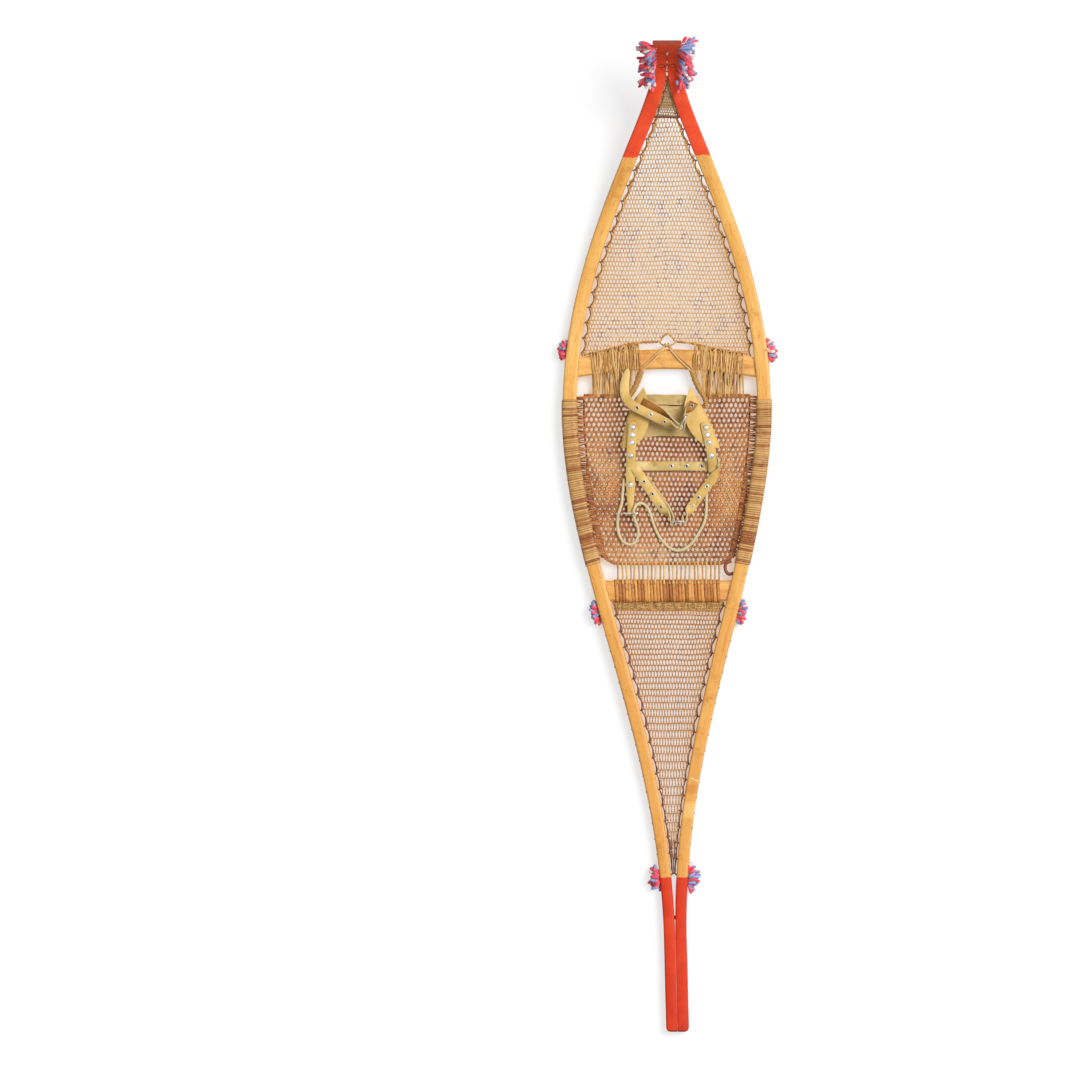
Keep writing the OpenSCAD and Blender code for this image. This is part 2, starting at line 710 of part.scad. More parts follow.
wrap_pitch = (wrap_front_y - wrap_rear_y) / stave_turns;
function stave_wrap_rings(side) =
    let (
        lace_w = wrap_pitch - lace_gap,
        start_y = wrap_front_y - lace_w / 2,
        pitch = (wrap_front_y - wrap_rear_y - lace_w) / stave_turns
    )
    wound_rings(stave_turns, function (k, e, layer)
        let (
            y = start_y - pitch * k / steps + e * (pitch - lace_gap) / 2,
            p = chamfered(stave_width(y), stave_h, stave_edge, snug + layer * lace_t)[k % steps]
        )
        stave_point(side, y, p[0], stave_h / 2 + p[1]));
module stave_wrap(side) {
    rings = stave_wrap_rings(side);
    echo(str("stave_wrap least gap ", turn_gap(rings)));
    color(dark_rawhide)
        skin(rings);
}
module left_stave_wrap() { stave_wrap(left); }
module right_stave_wrap() { stave_wrap(right); }

// Lace wound along a crossbar from x = start over a length
module bar_wrap(start, length, turns, w, line) {
    pitch = length / (turns + 1);
    rings = wound_rings(turns, function (k, e, layer)
        let (
            x = start + pitch / 2 + pitch * k / steps + e * (pitch - lace_gap) / 2,
            p = chamfered(w, bar_t, bar_edge, snug + layer * lace_t)[k % steps]
        )
        [x, line(x) + p[0], mid_z + p[1]]);
    echo(str("bar_wrap least gap ", turn_gap(rings)));
    color(dark_rawhide)
        skin(flipped(rings));
}
module front_bar_wrap_left() {
    bar_wrap(-front_wrap_start - front_wrap_len, front_wrap_len, front_bar_turns, front_bar_w,
        function (x) front_bar_line(x));
}
module front_bar_wrap_right() {
    bar_wrap(front_wrap_start, front_wrap_len, front_bar_turns, front_bar_w,
        function (x) front_bar_line(x));
}
module rear_bar_wrap() {
    bar_wrap(axis_x(rear_bar_y) - rear_wrap_len / 2, rear_wrap_len, rear_bar_turns, rear_bar_w,
        function (x) rear_bar_line(x));
}

// Toe hole

stay_sides = 8;
toe_cord_half = stay_end_x - stay_d / 2 - snug;
module toe_cord() {
    color(rawhide)
        translate([-toe_cord_half, toe_cord_y, mid_z])
            rotate([0, 90, 0])
                cylinder(h = 2 * toe_cord_half, r = toe_cord_r);
}

// Stay cord: from the front net over the front crossbar and back to the toe cord
module stay_cord(side) {
    over_z = mid_z + bar_t / 2 + snug + stay_d / 2;
    apex_x = stay_d / 2 + snug;
    front_y = front_bar_line(0) + front_bar_w / 2;
    function plan_point(i, z) = [side * stay_plan[i][0], stay_plan[i][1], z];
    points = [
        [side * apex_x, front_y + stay_d, mid_z + net_t / 2 + stay_d / 2 + snug],
        [side * (apex_x + 2), front_y + 1, over_z],
        [side * mix(apex_x, toe_hole_front, 0.5), mix(front_y, stay_rear_y, 0.5), over_z],
        [side * (toe_hole_front - 2), stay_rear_y, over_z],
        plan_point(0, mix(over_z, mid_z, 0.35)),
        plan_point(1, mid_z),
        plan_point(2, mid_z),
        plan_point(3, mid_z),
        plan_point(4, mid_z)
    ];
    color(dark_rawhide)
        skin(cord_rings(points, stay_d / 2, stay_sides));
}
module left_stay_cord() { stay_cord(left); }
module right_stay_cord() { stay_cord(right); }

// Yarn tufts

tuft_knot_r = 2.2;
module tuft_body(r, length) {
    rotate_extrude()
        polygon([[0, 0], [tuft_knot_r, 0], [tuft_knot_r * 1.2, length * 0.15],
            [r * 0.8, length * 0.3], [r, length * 0.6], [r * 0.75, length * 0.92], [0, length]]);
}
// Tuft on the outside of a stave at y
module stave_tuft(side, y, r, length) {
    v = stave_height(y) / 2;
    base = stave_point(side, y, side * (stave_width(y) / 2 + 2 * snug), v);
    outward = unit(base - stave_point(side, y, 0, v));
    along = unit(cross([0, 0, 1], outward));
    up = cross(outward, along);
    multmatrix([
        [along[0], up[0], outward[0], base[0]],
        [along[1], up[1], outward[1], base[1]],
        [along[2], up[2], outward[2], base[2]]])
        tuft_body(r, length);
}
toe_tuft_r = 7.5;
toe_tuft_len = 17;
toe_tuft_places = [21, 7, -12, -33];
module toe_tufts(side) {
    for (place = toe_tuft_places)
        stave_tuft(side, nose_y + place, toe_tuft_r, toe_tuft_len);
}
module toe_tufts_left() { color(yarn_red) toe_tufts(left); }
module toe_tufts_right() { color(yarn_blue) toe_tufts(right); }
front_tuft_y = front_bar_y + 22;
rear_tuft_y = rear_bar_y - 28;
tail_tuft_y = tail_net_low - 63;
module front_tuft_left() { color(yarn_red) stave_tuft(left, front_tuft_y, tuft_r, tuft_len); }
module front_tuft_right() { color(yarn_red) stave_tuft(right, front_tuft_y, tuft_r, tuft_len); }
module rear_tuft_left() { color(yarn_red) stave_tuft(left, rear_tuft_y, tuft_r, tuft_len); }
module rear_tuft_right() { color(yarn_red) stave_tuft(right, rear_tuft_y, tuft_r, tuft_len); }
small_tuft_r = 9;
small_tuft_len = 16;
module tail_tuft_left() {
    color(yarn_red) stave_tuft(left, tail_tuft_y, small_tuft_r, small_tuft_len);
}
module tail_tuft_right() {
    color(yarn_blue) stave_tuft(right, tail_tuft_y, small_tuft_r, small_tuft_len);
}

// Binding: the toe piece and what turns with it on the toe cord

sole_z = mid_z + toe_cord_r + snug + leather_t / 2;
flap_z = sole_z + flap_rise;

// Right half of the toe piece as lines from its rear to its front edge, each through three
// points [x, behind or ahead of the toe cord, height above the sole as a share of the flap's]
half_lines = [
    [[0, -43, 0], [0, -14, 0], [0, 17, 0]],
    [[26, -44, 0], [22, -15, 0], [19, 17, 0]],
    [[46, -49, 0], [40, -18, 0], [33, 15, 0]],
    [[62, -59, 0.02], [55, -22, 0.02], [42, 13, 0.02]],
    [[66.5, -61, 0.32], [59, -23, 0.32], [45, 12.5, 0.3]],
    [[64, -61, 0.68], [56.5, -23, 0.68], [43, 14, 0.62]],
    [[55, -60, 0.95], [43, -19, 0.97], [39, 21, 0.74]],
    [[42, -54, 0.9], [25, -17, 1], [34, 28, 0.74]]
];
function through(line, t) =
    line[0] * (1 - t) * (1 - 2 * t) + line[1] * 4 * t * (1 - t) + line[2] * t * (2 * t - 1);
leather_steps = 7;
right_flare = 11;
flare_from = 46;
flare_back = 60;
function leather_line(line, side) =
    [for (i = [0 : leather_steps])
        let (
            p = through(line, i / leather_steps),
            flare = side * p[0] > 0
                ? right_flare * clamp01(p[0] / flare_from) * clamp01(-p[1] / flare_back)
                : 0
        )
        [side * p[0] + flare, toe_cord_y + p[1], sole_z + p[2] * flap_rise]];
leather_grid = concat(
    [for (i = [len(half_lines) - 1 : -1 : 1]) leather_line(half_lines[i], left)],
    [for (line = half_lines) leather_line(line, right)]);

tie_half_y = toe_cord_r + 2 * snug;
tie_low = mid_z - toe_cord_r - snug;
tie_high = sole_z + leather_t / 2 + snug;
tie_slot = 2.4;
toe_slot_left = [-36, 7];
toe_slot_right = [39.6, 5.2];
strap_slot = strap_t + 1.6;
module strap_slot_cut(place, angle) {
    translate([place[0], toe_cord_y + place[1], flap_z])
        rotate([0, 0, angle])
            cube([strap_slot, strap_w + 2, flap_rise], center = true);
}
toe_strap_angle = 64;
module toe_piece() {
    color(tan_leather)
        difference() {
            sheet(leather_grid, leather_t);
            for (side = [left, right], way = [-1, 1])
                translate([side * tie_x, toe_cord_y + way * (tie_half_y + tie_t / 2), sole_z])
                    cube([2 * tie_w + tie_slot, tie_t + tie_slot, 2 * leather_t], center = true);
            strap_slot_cut(toe_slot_left, toe_strap_angle - 90);
            strap_slot_cut(toe_slot_right, toe_strap_angle);
        }
}

// Thong wound round the toe cord and the sole
tie_turns = 2;
module tie(side) {
    pitch = tie_w * 0.6;
    w = 2 * tie_half_y;
    h = tie_high - tie_low;
    rings = wound_rings(tie_turns, function (k, e, layer)
        let (
            x = side * tie_x + pitch * (k / steps - tie_turns / 2) + e * (pitch - lace_gap) / 2,
            p = chamfered(w, h, 1, layer * tie_t)[k % steps]
        )
        [x, toe_cord_y + p[0], (tie_low + tie_high) / 2 + p[1]]);
    echo(str("tie least gap ", turn_gap(rings)));
    color(thong_beige)
        skin(flipped(rings));
}
module left_tie() { tie(left); }
module right_tie() { tie(right); }

// Half turn of a flat strap round a level bar at p, from below to above along the plan angle
turn_steps = 6;
turn_r = wire_r + snug + strap_t / 2;
function level_turn(p, angle, r) =
    [for (i = [0 : turn_steps])
        let (a = -90 + 180 * i / turn_steps)
        [p[0] + r * cos(a) * cos(angle), p[1] + r * cos(a) * sin(angle), p[2] + r * sin(a)]];
// Half turn, clockwise in plan, of a strap on edge round an upright bar at p from plan angle a
on_edge = 90;
function upright_turn(p, a) =
    [for (i = [0 : turn_steps])
        let (b = a - 180 * i / turn_steps)
        [p[0] + turn_r * cos(b), p[1] + turn_r * sin(b), p[2], 0, on_edge]];
// Stop of a strap beside an upright bar: out along a plan angle and back to the left of it
function beside(bar, angle, out, back, z, width_angle, roll = 0) =
    [bar[0] + out * cos(angle) - back * sin(angle), bar[1] + out * sin(angle) + back * cos(angle),
        z, width_angle, roll];

// Wire frame with one bar at the origin, along X, and the other towards +Y
corner_r = 2.6;
module wire_frame(w, length) {
    a = w / 2 + wire_r;
    for (y = [0, length])
        translate([corner_r - a, y, 0])
            rotate([0, 90, 0])
                cylinder(h = 2 * (a - corner_r), r = wire_r);
    for (x = [-a, a])
        translate([x, corner_r, 0])
            rotate([-90, 0, 0])
                cylinder(h = length - 2 * corner_r, r = wire_r);
    for (corner = [[1, 0, 270], [1, 1, 0], [-1, 1, 90], [-1, 0, 180]])
        translate([corner[0] * (a - corner_r), corner[1] * (length - 2 * corner_r) + corner_r, 0])
            rotate([0, 0, corner[2]])
                rotate_extrude(angle = 90)
                    translate([corner_r, 0])
                        circle(r = wire_r);
}
// Prong hooked round the bar at the origin, leaning over the strap on the other bar
prong_r = 0.9;
prong_eye_w = 2.8;
prong_over = 2;
prong_slot = 4.4;
module prong() {
    eye_r = wire_r + run;
    fold_top = turn_r + strap_t / 2 + snug + prong_r;
    fold_reach = buckle_len - turn_r - strap_t / 2;
    length = norm([fold_top, fold_reach]) * (buckle_len + prong_over) / fold_reach;
    difference() {
        union() {
            rotate([0, 90, 0])
                cylinder(h = prong_eye_w, r = eye_r + prong_r, center = true);
            rotate([atan2(fold_top, fold_reach) - 90, 0, 0])
                cylinder(h = length, r1 = prong_r, r2 = prong_r * 0.7);
        }
        rotate([0, 90, 0])
            cylinder(h = 2 * prong_eye_w, r = eye_r, center = true);
    }
}
// Stands a buckle on edge with its held bar upright and its other bar opposite the plan angle
module stood(bar, angle) {
    translate(bar)
        rotate([0, -90, angle + 90])
            children();
}
// Room for a prong in the strap that holds its bar
module prong_cut(bar, angle) {
    translate(bar)
        rotate([0, 0, angle])
            cube([2 * turn_r + 2 * strap_t, 2 * turn_r + 2 * strap_t, prong_slot], center = true);
}

// Metal eyelet on a strap, at a stop of the strap, and its hole
eyelet_hole_r = 1.5;
eyelet_h = 0.8;
module at_stop(s) {
    translate([s[0], s[1], s[2]])
        rotate([0, -s[4], s[3]])
            children();
}
module eyelets(stops) {
    color(nickel)
        for (s = stops)
            at_stop(s)
                translate([0, 0, strap_t / 2 + snug])
                    difference() {
                        cylinder(h = eyelet_h, r = eyelet_r);
                        cylinder(h = 3 * eyelet_h, r = eyelet_hole_r, center = true);
                    }
}
module eyelet_holes(stops) {
    for (s = stops)
        at_stop(s)
            cylinder(h = 3 * strap_t, r = eyelet_hole_r + fit, center = true);
}

// Toe buckle, on edge across the toe strap
buckle_half = buckle_w / 2 + wire_r;
toe_ring_z = flap_z + leather_t / 2 + snug + wire_r + buckle_half;
edge_rise = toe_ring_z - flap_z;
toe_strap_bar = [20, toe_cord_y - 30, toe_ring_z];
toe_tab_bar = toe_strap_bar + buckle_len * [cos(toe_strap_angle), sin(toe_strap_angle), 0];
module toe_buckle() { color(nickel) stood(toe_tab_bar, toe_strap_angle) wire_frame(buckle_w, buckle_len); }
module toe_prong() { color(nickel) stood(toe_tab_bar, toe_strap_angle) prong(); }

// Toe strap: up through the left flap's slot, on edge round the buckle's bar, and back flat
slot_x = toe_slot_left[0];
slot_y = toe_cord_y + toe_slot_left[1];
function toe_low(out, back, z, roll) =
    beside(toe_strap_bar, toe_strap_angle, out, back, flap_z + z, toe_strap_angle, roll);
toe_return_fall = 0.04;
function toe_return(back, roll) =
    beside(toe_strap_bar, toe_strap_angle, -turn_r - 0.4, back,
        toe_strap_bar[2] - toe_return_fall * back, toe_strap_angle, roll);
toe_eyelet_stops = [toe_return(24, 24), toe_return(47, 0), toe_return(69, 0)];
module toe_strap() {
    color(tan_leather)
        difference() {
            skin(strap_rings(concat(
                [[slot_x - 0.5, slot_y, flap_z - 7, toe_strap_angle],
                [slot_x, slot_y, flap_z - 1, toe_strap_angle],
                [slot_x + 2.5, slot_y - 1.5, flap_z + 2.6, toe_strap_angle],
                toe_low(8, 50, 4, 0), toe_low(7.6, 36, 6.4, 30), toe_low(6.8, 25, 9.2, 62),
                toe_low(4.8, 15, 11.4, 82), toe_low(turn_r, 6, edge_rise, on_edge)],
                upright_turn(toe_strap_bar, toe_strap_angle),
                [toe_return(8, on_edge), toe_return(15, 54), toe_return(20.5, 24),
                toe_return(27.5, 24), toe_return(37, 4), toe_return(44, 0), toe_return(60, 0),
                toe_return(74, 0)])));
            eyelet_holes(toe_eyelet_stops);
        }
}
// Loose end of the toe strap, lying forward over the stay cord and the front crossbar
module toe_strap_tip() {
    over_z = mid_z + bar_t / 2 + lace_t + 2 * snug + strap_t / 2;
    color(tan_leather)
        skin(strap_rings([
            [-61, 206, net_top + snug + strap_t / 2 + 3, 8],
            [-62, 213, net_top + snug + strap_t / 2 + 4, 4],
            [-61.5, 224, over_z + 1, 0],
            [-59.5, 234, over_z + 0.4, -6],
            [-57, 244, over_z + 0.4, -8]]));
}
// Tab from the right flap's slot, on edge round the buckle's other bar
tab_angle = toe_strap_angle + 90;
function tab_stop(out, back, z, roll = 0) =
    beside(toe_tab_bar, toe_strap_angle, out, back, flap_z + z, tab_angle, roll);
tab_eyelet_stop = tab_stop(17.4, -1.6, 2.9);
module toe_tab() {
    color(tan_leather)
        difference() {
            skin(strap_rings(concat(
                [tab_stop(22.6, -2.2, -5.5), tab_stop(22.2, -2.2, -0.5), tab_stop(20.4, -2, 2.8),
                tab_stop(14.4, -1.2, 3), tab_stop(11.5, -0.6, 4.8, 22), tab_stop(8.5, 0.6, 7.8, 48),
                tab_stop(6, 1.8, 10.6, 72), tab_stop(3, turn_r, edge_rise, on_edge)],
                reversed(upright_turn(toe_tab_bar, tab_angle + 180)),
                [tab_stop(4, -turn_r, edge_rise, on_edge)])));
            prong_cut(toe_tab_bar, toe_strap_angle);
            eyelet_holes([tab_eyelet_stop]);
        }
}
module toe_eyelets() { eyelets(concat(toe_eyelet_stops, [tab_eyelet_stop])); }

// Domed rivet head standing on z = 0
module rivet_head() {
    dome_r = (rivet_r * rivet_r + rivet_h * rivet_h) / (2 * rivet_h);
    intersection() {
        translate([0, 0, rivet_h - dome_r])
            sphere(r = dome_r);
        cylinder(h = rivet_h, r = rivet_r);
    }
}

// Strap root riveted on a flap, ending at the line where the heel straps lift
root_x = 52;
right_shift = 13;
function strap_x(side, back) =
    side < 0 ? -(root_x - 3 + 4 * clamp01(back))
    : root_x + 3 + right_shift * clamp01(back);
root_front = -24;
heel_line = -66;
root_share = 0.75;
root_z = sole_z + flap_rise + leather_t / 2 + snug + strap_t / 2;
root_gap = 0.5;
root_stops = 4;
module strap_root(side) {
    color(tan_leather)
        skin(strap_rings([
            for (i = [0 : root_stops - 1])
                let (t = i / (root_stops - 1))
                [strap_x(side, root_share * t),
                    toe_cord_y + mix(root_front, heel_line + root_gap, t), root_z, 0]]));
}
module left_strap_root() { strap_root(left); }
module right_strap_root() { strap_root(right); }
rivet_first = 7;
rivet_step = 11;
module flap_rivets(side) {
    color(nickel)
        for (i = [0 : 2])
            let (back = rivet_first + i * rivet_step)
            translate([strap_x(side, root_share * back / (root_front - heel_line)),
                toe_cord_y + root_front - back, root_z + strap_t / 2 + run])
                rivet_head();
}
module left_flap_rivets() { flap_rivets(left); }
module right_flap_rivets() { flap_rivets(right); }

// Heel straps: the side straps, the instep strap's cross run, the ring and the thong

heel_y = toe_cord_y + heel_line;
low_layer_z = bed_z + strap_t / 2;
high_layer_z = low_layer_z + 2 * turn_r;
tunnel_y = toe_cord_y - 87;
tunnel_z = low_layer_z + 3 * strap_t + 4 * snug;
front_rivet_y = toe_cord_y - 72;
rear_rivet_y = toe_cord_y - 114;
ring_y = toe_cord_y - 156;
ring_bar_z = low_layer_z + turn_r;
ring_strap_w = 8.5;
function side_stop(side, back, y, z, w = strap_w) = [strap_x(side, back), y, z, 0, 0, w];
function side_strap_front(side) = [
    side_stop(side, root_share, heel_y - root_gap, root_z),
    side_stop(side, 0.8, front_rivet_y, root_z - 0.6),
    side_stop(side, 0.85, front_rivet_y - 7, root_z - 2.2),
    side_stop(side, 0.95, tunnel_y, tunnel_z + 1.5)
];
function side_strap_under(side) = [
    side_stop(side, 0.95, tunnel_y, low_layer_z),
    side_stop(side, 0.85, front_rivet_y - 4, low_layer_z)
];
// Left strap: back along the side, narrowing round the ring, and forward again underneath
module left_side_strap() {
    color(tan_leather)
        skin(strap_rings(concat(
            side_strap_front(left),
            [side_stop(left, 1, tunnel_y - 14, tunnel_z),
            side_stop(left, 1, rear_rivet_y + 6, high_layer_z + 1.2),
            side_stop(left, 1, rear_rivet_y - 5, high_layer_z + 0.4),
            side_stop(left, 1, ring_y + 9, high_layer_z, ring_strap_w)],
            [for (s = reversed(level_turn([strap_x(left, 1), ring_y, ring_bar_z], -90, turn_r)))
                side_stop(left, 1, s[1], s[2], ring_strap_w)],
            [side_stop(left, 1, ring_y + 9, low_layer_z, ring_strap_w),
            side_stop(left, 1, rear_rivet_y - 5, low_layer_z)],
            side_strap_under(left))));
}
// Right strap: over the cross run and back underneath it
fold_y = tunnel_y - 6;
module right_side_strap() {
    fold_r = (tunnel_z - low_layer_z) / 2;
    color(tan_leather)
        skin(strap_rings(concat(
            side_strap_front(right),
            [for (s = reversed(level_turn([0, fold_y, low_layer_z + fold_r], -90, fold_r)))
                side_stop(right, 0.97, s[1], s[2])],
            side_strap_under(right))));
}

module strap_rivet(side, back, y, z) {
    color(nickel)
        translate([strap_x(side, back), y, z])
            rivet_head();
}
module left_strap_rivets() {
    strap_rivet(left, 0.8, front_rivet_y, root_z + strap_t / 2 + run);
    strap_rivet(left, 1, rear_rivet_y, high_layer_z + strap_t + snug);
}
module right_strap_rivet() { strap_rivet(right, 0.8, front_rivet_y, root_z + strap_t / 2 + run); }

// Cross run of the instep strap, lying in the tunnels of both side straps
cross_z = low_layer_z + strap_t + snug;
cross_stops = 5;
cross_eyelet_stops = [for (x = [7, 29, 51]) [x, tunnel_y, cross_z, 90, 0]];
module instep_cross() {
    reach = strap_w / 2 - 1;
    color(suede)
        difference() {
            skin(strap_rings([for (i = [0 : cross_stops - 1])
                [mix(strap_x(left, 0.95) - reach, strap_x(right, 0.95) + reach, i / (cross_stops - 1)),
                    tunnel_y, cross_z, 90]]));
            eyelet_holes(cross_eyelet_stops);
        }
}
module cross_eyelets() { eyelets(cross_eyelet_stops); }

// Ring that the left side strap folds round, with room above for the thong
ring_h = 13;
ring_w = 20;
module thong_ring() {
    color(nickel)
        translate([strap_x(left, 1), ring_y, ring_bar_z])
            rotate([90, 0, 0])
                wire_frame(ring_w, ring_h);
}

// Thong from the left side strap, through the ring and round to the right side strap
thong_route = [
    [-62.4, 84, 16.5], [-63.5, 72, 16.5], [-64.8, 60, 16.5], [-65.5, 48, 16.5], [-70, 36, 16.5],
    [-72, 25, 16.5], [-72, 14, 16.5], [-70, 3, 16.5], [-65, -7, 16.5], [-57, -12, 16.5],
    [-49, -11, 16.5], [-43, -4, 16.5], [-41, 6, 16.8], [-43, 16, 19], [-47, 25, 22.5],
    [-49, 34, 24.6], [-47, 43, 24.2], [-41, 49, 21], [-33, 48, 18], [-27, 41, 16.8],
    [-23, 31, 16.5], [-20, 20, 16.5], [-16, 9, 16.5], [-10, -2, 16.5], [-2, -12, 16.5],
    [8, -19, 16.5], [19, -21, 16.5], [30, -16, 16.5], [39, -7, 16.5], [46, 4, 16.5],
    [52, 14, 16.5], [56, 24, 16.5], [57.5, 34, 16.5], [58, 44, 16.5], [58, 54, 16.5],
    [58, 64, 16.5], [58.5, 74, 16.5], [61, 83, 16.5], [64, 90, 16.5]
];
thong_sides = 8;
module heel_thong() {
    color(thong_beige)
        skin(cord_rings(thong_route, thong_d / 2, thong_sides));
}

// Instep loop: two legs of the instep strap and the buckle on edge that joins them
instep_ring_z = bed_z + wire_r + buckle_half;
instep_strap_bar = [8, toe_cord_y - 167.6, instep_ring_z];
instep_held_bar = instep_strap_bar + [buckle_len, 0, 0];
module instep_buckle() { color(nickel) stood(instep_held_bar, 0) wire_frame(buckle_w, buckle_len); }
module instep_prong() { color(nickel) stood(instep_held_bar, 0) prong(); }

// Left leg: flat on the net, on edge round the buckle's bar, and back on top of itself
left_leg_angle = 35;
left_return_near = [-8, 43, low_layer_z + 5.8];
left_return_far = [-36.5, 85.4, low_layer_z + 3.3];
function left_return(t, roll = 0) =
    concat(mix(left_return_near, left_return_far, t), [left_leg_angle, roll]);
left_eyelet_stops = [left_return(0.01, 14), left_return(0.45), left_return(0.88)];
module instep_left_strap() {
    color(tan_leather)
        difference() {
            skin(strap_rings(concat(
                [[-33, 86, low_layer_z + 0.4, left_leg_angle], [-23, 71.5, low_layer_z, left_leg_angle],
                [-9, 52, low_layer_z, left_leg_angle + 2],
                [0, 40.5, low_layer_z + 3.8, left_leg_angle + 3, 34],
                [6.5, 32.5, low_layer_z + 7.8, left_leg_angle + 7, 72],
                beside(instep_strap_bar, 0, turn_r, 4.5, instep_ring_z, 0, on_edge)],
                upright_turn(instep_strap_bar, 0),
                [beside(instep_strap_bar, 0, -turn_r, 5, instep_ring_z, 0, on_edge),
                [1.2, 33.5, instep_ring_z - 1, left_leg_angle + 3, 62],
                left_return(-0.1, 14), left_return(0.1, 14), left_return(0.25, 2), left_return(0.38),
                left_return(0.7), left_return(1)])));
            eyelet_holes(left_eyelet_stops);
        }
}
// Right leg: from the right side strap over the thong, and on edge round the held bar
right_leg_angle = 143;
right_leg_far = [68.5, 86.5, low_layer_z + 7.8];
right_leg_near = [35, 42, low_layer_z + 2.8];
function right_leg(t) = concat(mix(right_leg_far, right_leg_near, t), [right_leg_angle, 0]);
right_eyelet_stops = [right_leg(0.3), right_leg(0.66), right_leg(0.93)];
module instep_right_strap() {
    color(tan_leather)
        difference() {
            skin(strap_rings(concat(
                [right_leg(0), right_leg(0.5), right_leg(1),
                [32.2, 37.6, low_layer_z + 4.6, right_leg_angle - 2, 36],
                [29.8, 32, low_layer_z + 8.4, right_leg_angle - 15, 74],
                beside(instep_held_bar, 0, turn_r, 4.5, instep_ring_z, 0, on_edge)],
                upright_turn(instep_held_bar, 0),
                [beside(instep_held_bar, 0, -turn_r, 5, instep_ring_z, 0, on_edge),
                beside(instep_held_bar, 0, -turn_r - 0.4, 9, instep_ring_z, 0, on_edge)])));
            prong_cut(instep_held_bar, 0);
            eyelet_holes(right_eyelet_stops);
        }
}
module instep_eyelets() { eyelets(concat(left_eyelet_stops, right_eyelet_stops)); }

left_stave();
right_stave();
front_crossbar();
rear_crossbar();
toe_lashing();
tail_lashing();
toe_spreader();
toe_net();
front_net();
centre_net();
left_shoulder_net();
right_shoulder_net();
tail_net();
front_selvage_left();
front_selvage_right();
tail_selvage_left();
tail_selvage_right();
left_stave_wrap();
right_stave_wrap();
front_bar_wrap_left();
front_bar_wrap_right();
rear_bar_wrap();
toe_cord();
left_stay_cord();
right_stay_cord();
toe_tufts_left();
toe_tufts_right();
front_tuft_left();
front_tuft_right();
rear_tuft_left();
rear_tuft_right();
tail_tuft_left();
tail_tuft_right();
toe_piece();
left_tie();
right_tie();
toe_strap();
toe_strap_tip();
toe_tab();
toe_buckle();
toe_prong();
toe_eyelets();
left_flap_rivets();
right_flap_rivets();
left_strap_root();
right_strap_root();
left_side_strap();
right_side_strap();
left_strap_rivets();
right_strap_rivet();
instep_cross();
cross_eyelets();
thong_ring();
heel_thong();
instep_left_strap();
instep_right_strap();
instep_buckle();
instep_prong();
instep_eyelets();
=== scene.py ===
"""Dresses the packed snowshoe: varnished and painted staves, woven rawhide nets, lace windings,
wool tufts and the leather binding. Places and sizes are millimetres until a mesh is made."""
import math
import random

import bmesh
import bpy
import numpy as np
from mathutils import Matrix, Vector, noise


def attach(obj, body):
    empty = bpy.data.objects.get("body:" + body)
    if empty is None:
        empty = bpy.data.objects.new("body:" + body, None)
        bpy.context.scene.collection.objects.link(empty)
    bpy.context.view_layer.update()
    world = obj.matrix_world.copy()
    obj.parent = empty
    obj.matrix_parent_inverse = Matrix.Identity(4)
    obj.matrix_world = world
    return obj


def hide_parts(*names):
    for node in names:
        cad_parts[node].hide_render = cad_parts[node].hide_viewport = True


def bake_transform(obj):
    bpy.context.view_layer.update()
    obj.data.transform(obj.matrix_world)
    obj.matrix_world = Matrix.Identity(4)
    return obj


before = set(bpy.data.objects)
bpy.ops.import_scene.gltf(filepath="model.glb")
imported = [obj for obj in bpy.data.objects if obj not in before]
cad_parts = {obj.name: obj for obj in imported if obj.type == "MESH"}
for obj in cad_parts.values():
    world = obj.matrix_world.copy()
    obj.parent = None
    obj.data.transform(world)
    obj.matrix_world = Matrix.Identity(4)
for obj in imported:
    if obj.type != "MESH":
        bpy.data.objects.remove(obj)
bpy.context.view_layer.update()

MM = 0.001
NET_WANDER_SEED = 5
noise.seed_set(NET_WANDER_SEED)
LEFT, RIGHT = -1, 1
SIDES = ((LEFT, "left"), (RIGHT, "right"))

# Sizes of the part that the dressing follows
HALF_LEN, WIDE_HALF, WIDEST_Y = 723.0, 152.0, 185.0
TAIL_CLOSE_Y, NOSE_Y, TAIL_SWEEP = -590.0, 690.0, 16.0
STAVE_W, STAVE_H, TIP_W, TIP_H, TAIL_W, TAIL_H = 20.0, 20.0, 21.0, 8.0, 16.5, 15.0
SWEEP_R, SWEEP_A, CURL_R, TIP_A, TIP_LEN = 700.0, math.radians(28), 85.0, math.radians(75), 35.0
FRONT_BAR_Y, FRONT_BAR_BOW, FRONT_BAR_W = 247.0, 12.0, 29.0
REAR_BAR_Y, REAR_BAR_W, BAR_T = -79.0, 30.0, 11.0
SNUG, LACE_T, LIFT, MID_Z = 0.3, 1.8, 2.1, 12.1
TOE_CORD_Y, SPREADER_Y = 190.0, 614.0
TIP_START_Y = HALF_LEN - TIP_LEN * math.cos(TIP_A)
CURL_START_Y = TIP_START_Y - CURL_R * (math.sin(TIP_A) - math.sin(SWEEP_A))
SWEEP_START_Y = CURL_START_Y - SWEEP_R * math.sin(SWEEP_A)
SWEEP_RISE = SWEEP_R * (1 - math.cos(SWEEP_A))
CURL_RISE = SWEEP_RISE + CURL_R * (math.cos(SWEEP_A) - math.cos(TIP_A))


def mix(a, b, t):
    return a + (b - a) * t


def clamp01(t):
    return min(1.0, max(0.0, t))


def ease(t):
    t = clamp01(t)
    return t * t * (3 - 2 * t)


def slope(y):
    """Angle of the frame's side view at y."""
    if y <= SWEEP_START_Y:
        return 0.0
    if y <= CURL_START_Y:
        return math.asin((y - SWEEP_START_Y) / SWEEP_R)
    if y <= TIP_START_Y:
        return math.asin(min(1.0, math.sin(SWEEP_A) + (y - CURL_START_Y) / CURL_R))
    return TIP_A


